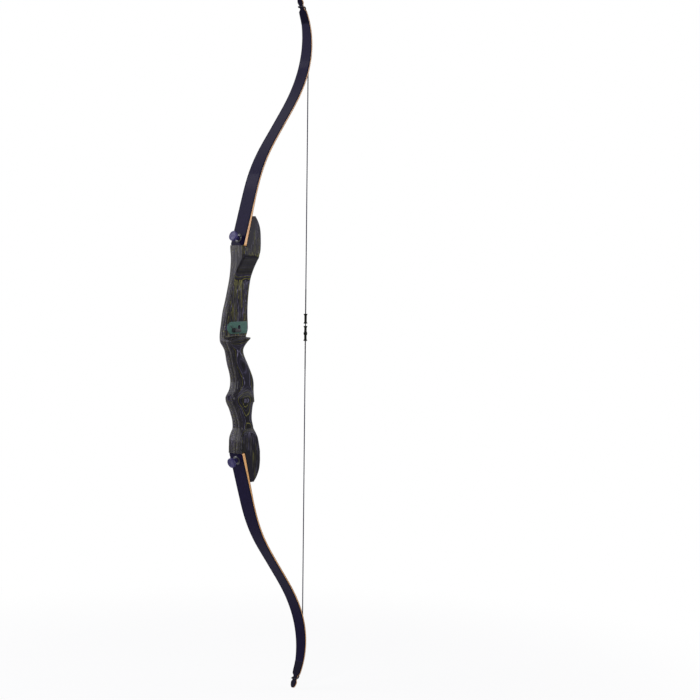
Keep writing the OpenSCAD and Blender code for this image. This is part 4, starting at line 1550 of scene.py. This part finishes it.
@dataclass
class ArrowRest:
    """Felt strike pad with a stick-on rest, whose arm folds against it."""

    finishes: Finishes
    fittings: Fittings = Fittings()
    wall: float = RiserForm.wall
    pad_t: float = 1.2
    front: float = 37.6
    length: float = 59.0
    height: float = 26.0
    top: float = 60.4
    pad_corner: float = 4.0
    root: Point = (-17.4, 42.2)
    tip: Point = (-36.4, 53.2)
    base_t: float = 1.8
    base_h: float = 9.5
    base_back: float = 2.5
    ear: float = 2.6
    ear_bore: float = 0.85
    ear_sunk: float = 1.2
    hub_room: float = 2.3
    hub_r: float = 2.2
    hub_half: float = 2.0
    pin_r: float = 0.8
    pin_half: float = 4.75
    reach: float = 6.0
    arm_steps: int = 24
    arm_sides: int = 14
    arm_r: Point = (1.0, 0.75)
    arm_round: float = 0.035
    sag: float = 1.6

    @property
    def face_y(self) -> float:
        """Place of the base's face across the bow."""
        return self.wall - self.pad_t - self.base_t

    @property
    def ear_y(self) -> float:
        """Place of the arm's pin across the bow."""
        return self.face_y - self.ear + self.ear_sunk

    def plate(self, outline: Sequence[Point], back: float, thick: float, bevel: float) -> Workpiece:
        """A flat plate against the riser's wall.

        Args:
            outline: corners in x and z.
            back: its side on the wall.
            thick: its thickness.
            bevel: rounding of its front edge.

        Returns:
            The plate on its bench.
        """
        made = Workpiece()
        front = set(made.slab([Vector((x, back, z)) * MM for x, z in outline], (0, -thick * MM, 0)))
        edges = [e for e in made.bm.edges if front.issuperset(e.verts)]
        bmesh.ops.bevel(made.bm, geom=edges, offset=bevel * MM, offset_type="OFFSET", segments=3, profile=0.5,
                        affect="EDGES", material=-1)
        return made

    def pad(self) -> None:
        """Felt strike pad, round at its front, with the plunger's hole through it."""
        r, corner, f = self.height / 2, self.pad_corner, self.fittings
        back = self.length - self.front - corner
        outline = arc((r - self.front, self.top - r), r, 90, 270, 6)
        outline += arc((back, self.top - self.height + corner), corner, -90, 0, 15)
        outline += arc((back, self.top - corner), corner, 0, 90, 15)
        obj = self.plate(outline, self.wall, self.pad_t, 0.45).done("felt_strike_pad", self.finishes.felt, 30)
        hole = drill(Vector((f.plunger_x, -4, f.plunger_z)) * MM, Y_WAY, f.thread_d / 2 + f.room, 12)
        cut(obj, [hole], 30)
        settle(obj, "riser", "felt", "strike_pad")

    def base(self) -> None:
        """Base of the rest with its two ears."""
        half, back, low = self.base_h / 2, self.base_back, self.root[1] - self.base_h / 2
        outline = arc((self.root[0] - self.ear, self.root[1]), half, 90, 270, 10)
        outline += arc((back - 3, low + 3), 3, -90, 0, 15)
        outline += arc((back - 2, low + self.base_h - 5), 2, 0, 90, 15)
        made = self.plate(outline, self.wall - self.pad_t, self.base_t, 0.5)
        tall, bore, edge = half - self.hub_room, self.ear_bore, 0.4
        ear = [(bore, 0.0), (self.ear - edge, 0.0), (self.ear, edge), (self.ear, tall - edge),
               (self.ear - edge, tall), (bore, tall)]
        for z in (low, low + self.base_h - tall):
            part = Workpiece()
            part.turned(ear, Vector((self.root[0], self.ear_y, z)) * MM, Z_WAY, 32)
            made.take(part)
        settle(made.done("rest_plate", self.finishes.rest, 30), "riser", "rest_plastic", "rest_base")

    def arm(self) -> None:
        """Arm on its pin, with a soft sag and a round end."""
        foot = Vector((self.root[0], self.ear_y, self.root[1]))
        end = Vector((self.tip[0], self.face_y - self.reach, self.tip[1]))
        made, last = Workpiece(), self.arm_steps
        for r, half, edge, sides in ((self.pin_r, self.pin_half, 0.2, 24),
                                     (self.hub_r, self.hub_half, 0.3, 32)):
            made.turned([(0, -half), (r - edge, -half), (r, edge - half), (r, half - edge), (r - edge, half),
                         (0, half)], foot * MM, Z_WAY, sides)
        places = [mix(0.02, 1.0, i / last) for i in range(last + 1)]
        spine = [foot.lerp(end, t) - Z_WAY * self.sag * math.sin(math.pi * t) for t in places]
        flats = [math.tau * k / self.arm_sides for k in range(self.arm_sides)]
        sections = []
        for i, p in enumerate(spine):
            along = (spine[min(last, i + 1)] - spine[max(0, i - 1)]).normalized()
            round_end = max(0.0, 1 - (1 - places[i]) / self.arm_round)
            r = mix(*self.arm_r, places[i]) * math.sqrt(max(0.03, 1 - round_end ** 2))
            a = along.cross(Y_WAY).normalized()
            b = along.cross(a).normalized()
            sections.append([(p + (a * math.cos(t) + b * math.sin(t)) * r) * MM for t in flats])
        made.draw_out(sections)
        settle(made.done("rest_finger", self.finishes.rest, 40), "rest_arm", "rest_plastic", "rest_arm")

    def build(self) -> None:
        """Makes the pad and the rest."""
        self.pad()
        self.base()
        self.arm()


@dataclass
class BowString:
    """Taut string in two halves, with its servings and finger guards."""

    finishes: Finishes
    x: float = 202.167
    contact: float = 675.474
    nocking: float = 48.0
    bare: float = 1.25
    served: float = 1.5
    thread: float = 0.3
    strands: int = 6
    valley: float = 0.16
    lay: float = 34.0
    end_serving: float = 70.0
    up: float = 80.0
    down: float = 100.0
    nock_gap: float = 5.2
    guard_up: float = 22.0
    guard_down: float = 33.7
    flare: float = 4.3
    flare_zone: Point = (0.5, 5.0)
    waist: float = 2.8
    guard_fit: float = 0.05
    guard_edge: float = 0.35
    guard_step: float = 0.55

    def guard(self, side: Side) -> Workpiece:
        """Rubber tube with a flare at each end, and one in the middle of the long one.

        Args:
            side: which half of the string it is on.

        Returns:
            The guard on its bench.
        """
        length = self.guard_up if side is Side.UPPER else self.guard_down
        flares = (0.0, length) if side is Side.UPPER else (0.0, length / 2, length)
        inner = self.served + self.guard_fit
        outer = []
        for z in spread(0, length, self.guard_step):
            near = min(abs(z - f) for f in flares)
            r = mix(self.flare, self.waist, ramp(*self.flare_zone, near))
            outer.append((r - (self.guard_edge if z in (0.0, length) else 0.0), z))
        made = Workpiece()
        made.turned([(inner, 0.0)] + outer + [(inner, length)], ORIGIN, Z_WAY, 40)
        return made

    def half(self, side: Side) -> None:
        """One half of the string with its servings and its guard.

        Args:
            side: which half.
        """
        finishes, bottom = self.finishes, side.value * self.nocking
        total = self.contact - bottom
        strand, centre, end = Workpiece(), Workpiece(), Workpiece()
        strand.rod(self.bare, spread(0, total, 2.4), 24, math.tau / self.lay, self.strands, self.valley)
        inner = self.up if side is Side.UPPER else self.down
        for wound, length in ((centre, inner), (end, self.end_serving)):
            wound.coil(self.served - self.thread, self.thread, 2 * self.thread, length)
        flip = Matrix.Scale(side.value, 4, Z_WAY)
        for work, name, node, start, finish, slot, crease in (
                (strand, "strands", "string", bottom, finishes.string, "string", 60),
                (centre, "centre_serving_winding", "centre_serving", bottom, finishes.serving, "serving", 60),
                (end, "end_serving_winding", "end_serving", self.contact - self.end_serving, finishes.serving,
                 "serving", 60),
                (self.guard(side), "guard", "finger_guard", bottom + self.nock_gap / 2, finishes.rubber,
                 "guard_rubber", 40)):
            work.move(flip @ Matrix.Translation(Vector((self.x, 0, start)) * MM))
            obj = work.done(f"{side.prefix}_{name}", finish, crease)
            settle(obj, f"{side.prefix}_string", slot, f"{side.prefix}_{node}")

    def build(self) -> None:
        """Makes both halves."""
        for side in Side:
            self.half(side)


# Studio


@dataclass(frozen=True)
class Lamp:
    """A soft rectangular lamp that faces the bow, in metres and watts."""

    name: str
    place: Triple
    size: Point
    power: float
    level: bool = True
    tint: Triple = (0.94, 0.93, 1.0)

    def build(self) -> None:
        """Hangs the lamp, upright or tilted to the bow."""
        data = bpy.data.lights.new(self.name, "AREA")
        data.shape, data.energy, data.color = "RECTANGLE", self.power, self.tint
        data.size, data.size_y = self.size
        obj = bpy.data.objects.new(self.name, data)
        ahead = -Vector(self.place)
        if self.level:
            ahead.z = 0
        aim = ahead.to_track_quat("-Z", "Y").to_matrix().to_4x4()
        obj.matrix_world = Matrix.Translation(Vector(self.place)) @ aim
        bpy.context.scene.collection.objects.link(obj)


@dataclass
class Studio:
    """Pale floor, soft lamps and the camera, in metres and degrees."""

    floor_z: float = -0.776
    floor_half: float = 30.0
    floor_fade: Point = (0.2, 2.0)
    floor_white: float = 0.88
    eye: Triple = (-2.6452, -2.7310, 0.2368)
    yaw: float = 47.65631
    pitch: float = -3.54567
    roll: float = 0.67426
    lens: float = 90.414
    soft: float = 0.22
    lamps: tuple[Lamp, ...] = (
        Lamp("key", (-3.0, -0.9, 2.6), (0.8, 0.8), 30, False),
        Lamp("side_panel", (2.5, -2.5, 1.55), (3.0, 3.0), 70),
        Lamp("back_panel", (-2.6, 2.4, 1.2), (2.4, 3.0), 92),
        Lamp("sky_panel", (-1.4, 3.2, 3.4), (2.4, 2.4), 45, False),
        Lamp("front_panel", (-3.0, -2.35, 0.5), (0.8, 2.2), 60))

    def camera(self) -> None:
        """Camera at the photograph's place."""
        yaw, pitch, roll = (math.radians(a) for a in (self.yaw, self.pitch, self.roll))
        ahead = Vector((math.sin(yaw) * math.cos(pitch), math.cos(yaw) * math.cos(pitch), math.sin(pitch)))
        right = Vector((math.cos(yaw), -math.sin(yaw), 0))
        up = right.cross(ahead)
        right, up = right * math.cos(roll) + up * math.sin(roll), up * math.cos(roll) - right * math.sin(roll)
        data = bpy.data.cameras.new("camera")
        data.lens, data.sensor_width, data.clip_end = self.lens, 36.0, 100.0
        obj = bpy.data.objects.new("camera", data)
        turn = Matrix((right, up, -ahead)).transposed().to_4x4()
        obj.matrix_world = Matrix.Translation(Vector(self.eye)) @ turn
        bpy.context.scene.collection.objects.link(obj)
        bpy.context.scene.camera = obj

    def world(self) -> None:
        """White for the camera and for reflections, and a soft light for the rest."""
        world = bpy.data.worlds.new("studio")
        world.use_nodes = True
        bpy.context.scene.world = world
        graph = Graph(world.node_tree)
        graph.tree.nodes.clear()
        soft = graph.node("ShaderNodeBackground", {}, {"Color": (0.93, 0.94, 1.0, 1), "Strength": self.soft})
        white = graph.node("ShaderNodeBackground", {}, {"Color": WHITE, "Strength": 1.0})
        graph.between(graph.seen(), soft, white, graph.node("ShaderNodeOutputWorld", {}, {}))

    def floor(self) -> None:
        """Pale floor that keeps the bow's shadow and fades to white far off."""
        made = Workpiece()
        bmesh.ops.create_grid(made.bm, x_segments=2, y_segments=2, size=self.floor_half,
                              matrix=Matrix.Translation(Vector((0, 0, self.floor_z))))
        s = Shader("pale_floor")
        colour = s.blend(s.noise((30, 30, 30), 3), (0.86, 0.86, 0.87, 1), (0.89, 0.89, 0.9, 1))
        s.finish(Base_Color=colour, Roughness=0.8, Specular_IOR_Level=0.1)
        bright = s.node("ShaderNodeEmission", {}, {"Color": WHITE, "Strength": 1.0})
        x, y, _ = s.split()
        white = self.floor_white
        share = s.seen() * ((x * x + y * y).step(*self.floor_fade) * (1 - white) + white)
        s.between(share, s.surface, bright, next(n for n in s.tree.nodes if n.type == "OUTPUT_MATERIAL"))
        made.done("floor", s.material)

    def build(self) -> None:
        """Sets up the studio."""
        bpy.context.scene.view_settings.view_transform = "Standard"
        self.camera()
        self.world()
        self.floor()
        for lamp in self.lamps:
            lamp.build()


def dress_nodes(nodes: dict[str, Object], finishes: Finishes) -> None:
    """Gives every CAD node that stays in sight its finish.

    Args:
        nodes: the frame's nodes, by name.
        finishes: the bow's finishes.
    """
    for name, obj in nodes.items():
        if not obj.hide_render:
            obj.data.materials.clear()
            obj.data.materials.append(finishes.brass if name.endswith("_limb_insert") else finishes.steel)
            LOG.info("  %s keeps its solid", name)


def main() -> None:
    """Builds the bow and its studio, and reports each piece."""
    logging.basicConfig(level=logging.INFO, format="%(message)s")
    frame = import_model()
    finishes = Finishes()
    parts = [Riser(finishes), BushSet(finishes), ArrowRest(finishes)]
    for side in Side:
        parts += [Limb(side, finishes), LimbBolt(side, finishes)]
    for part in (*parts, BowString(finishes)):
        LOG.info("Building %s", type(part).__name__)
        part.build()
    dress_nodes(frame["nodes"], finishes)
    Studio().build()


if __name__ == "__main__":
    main()
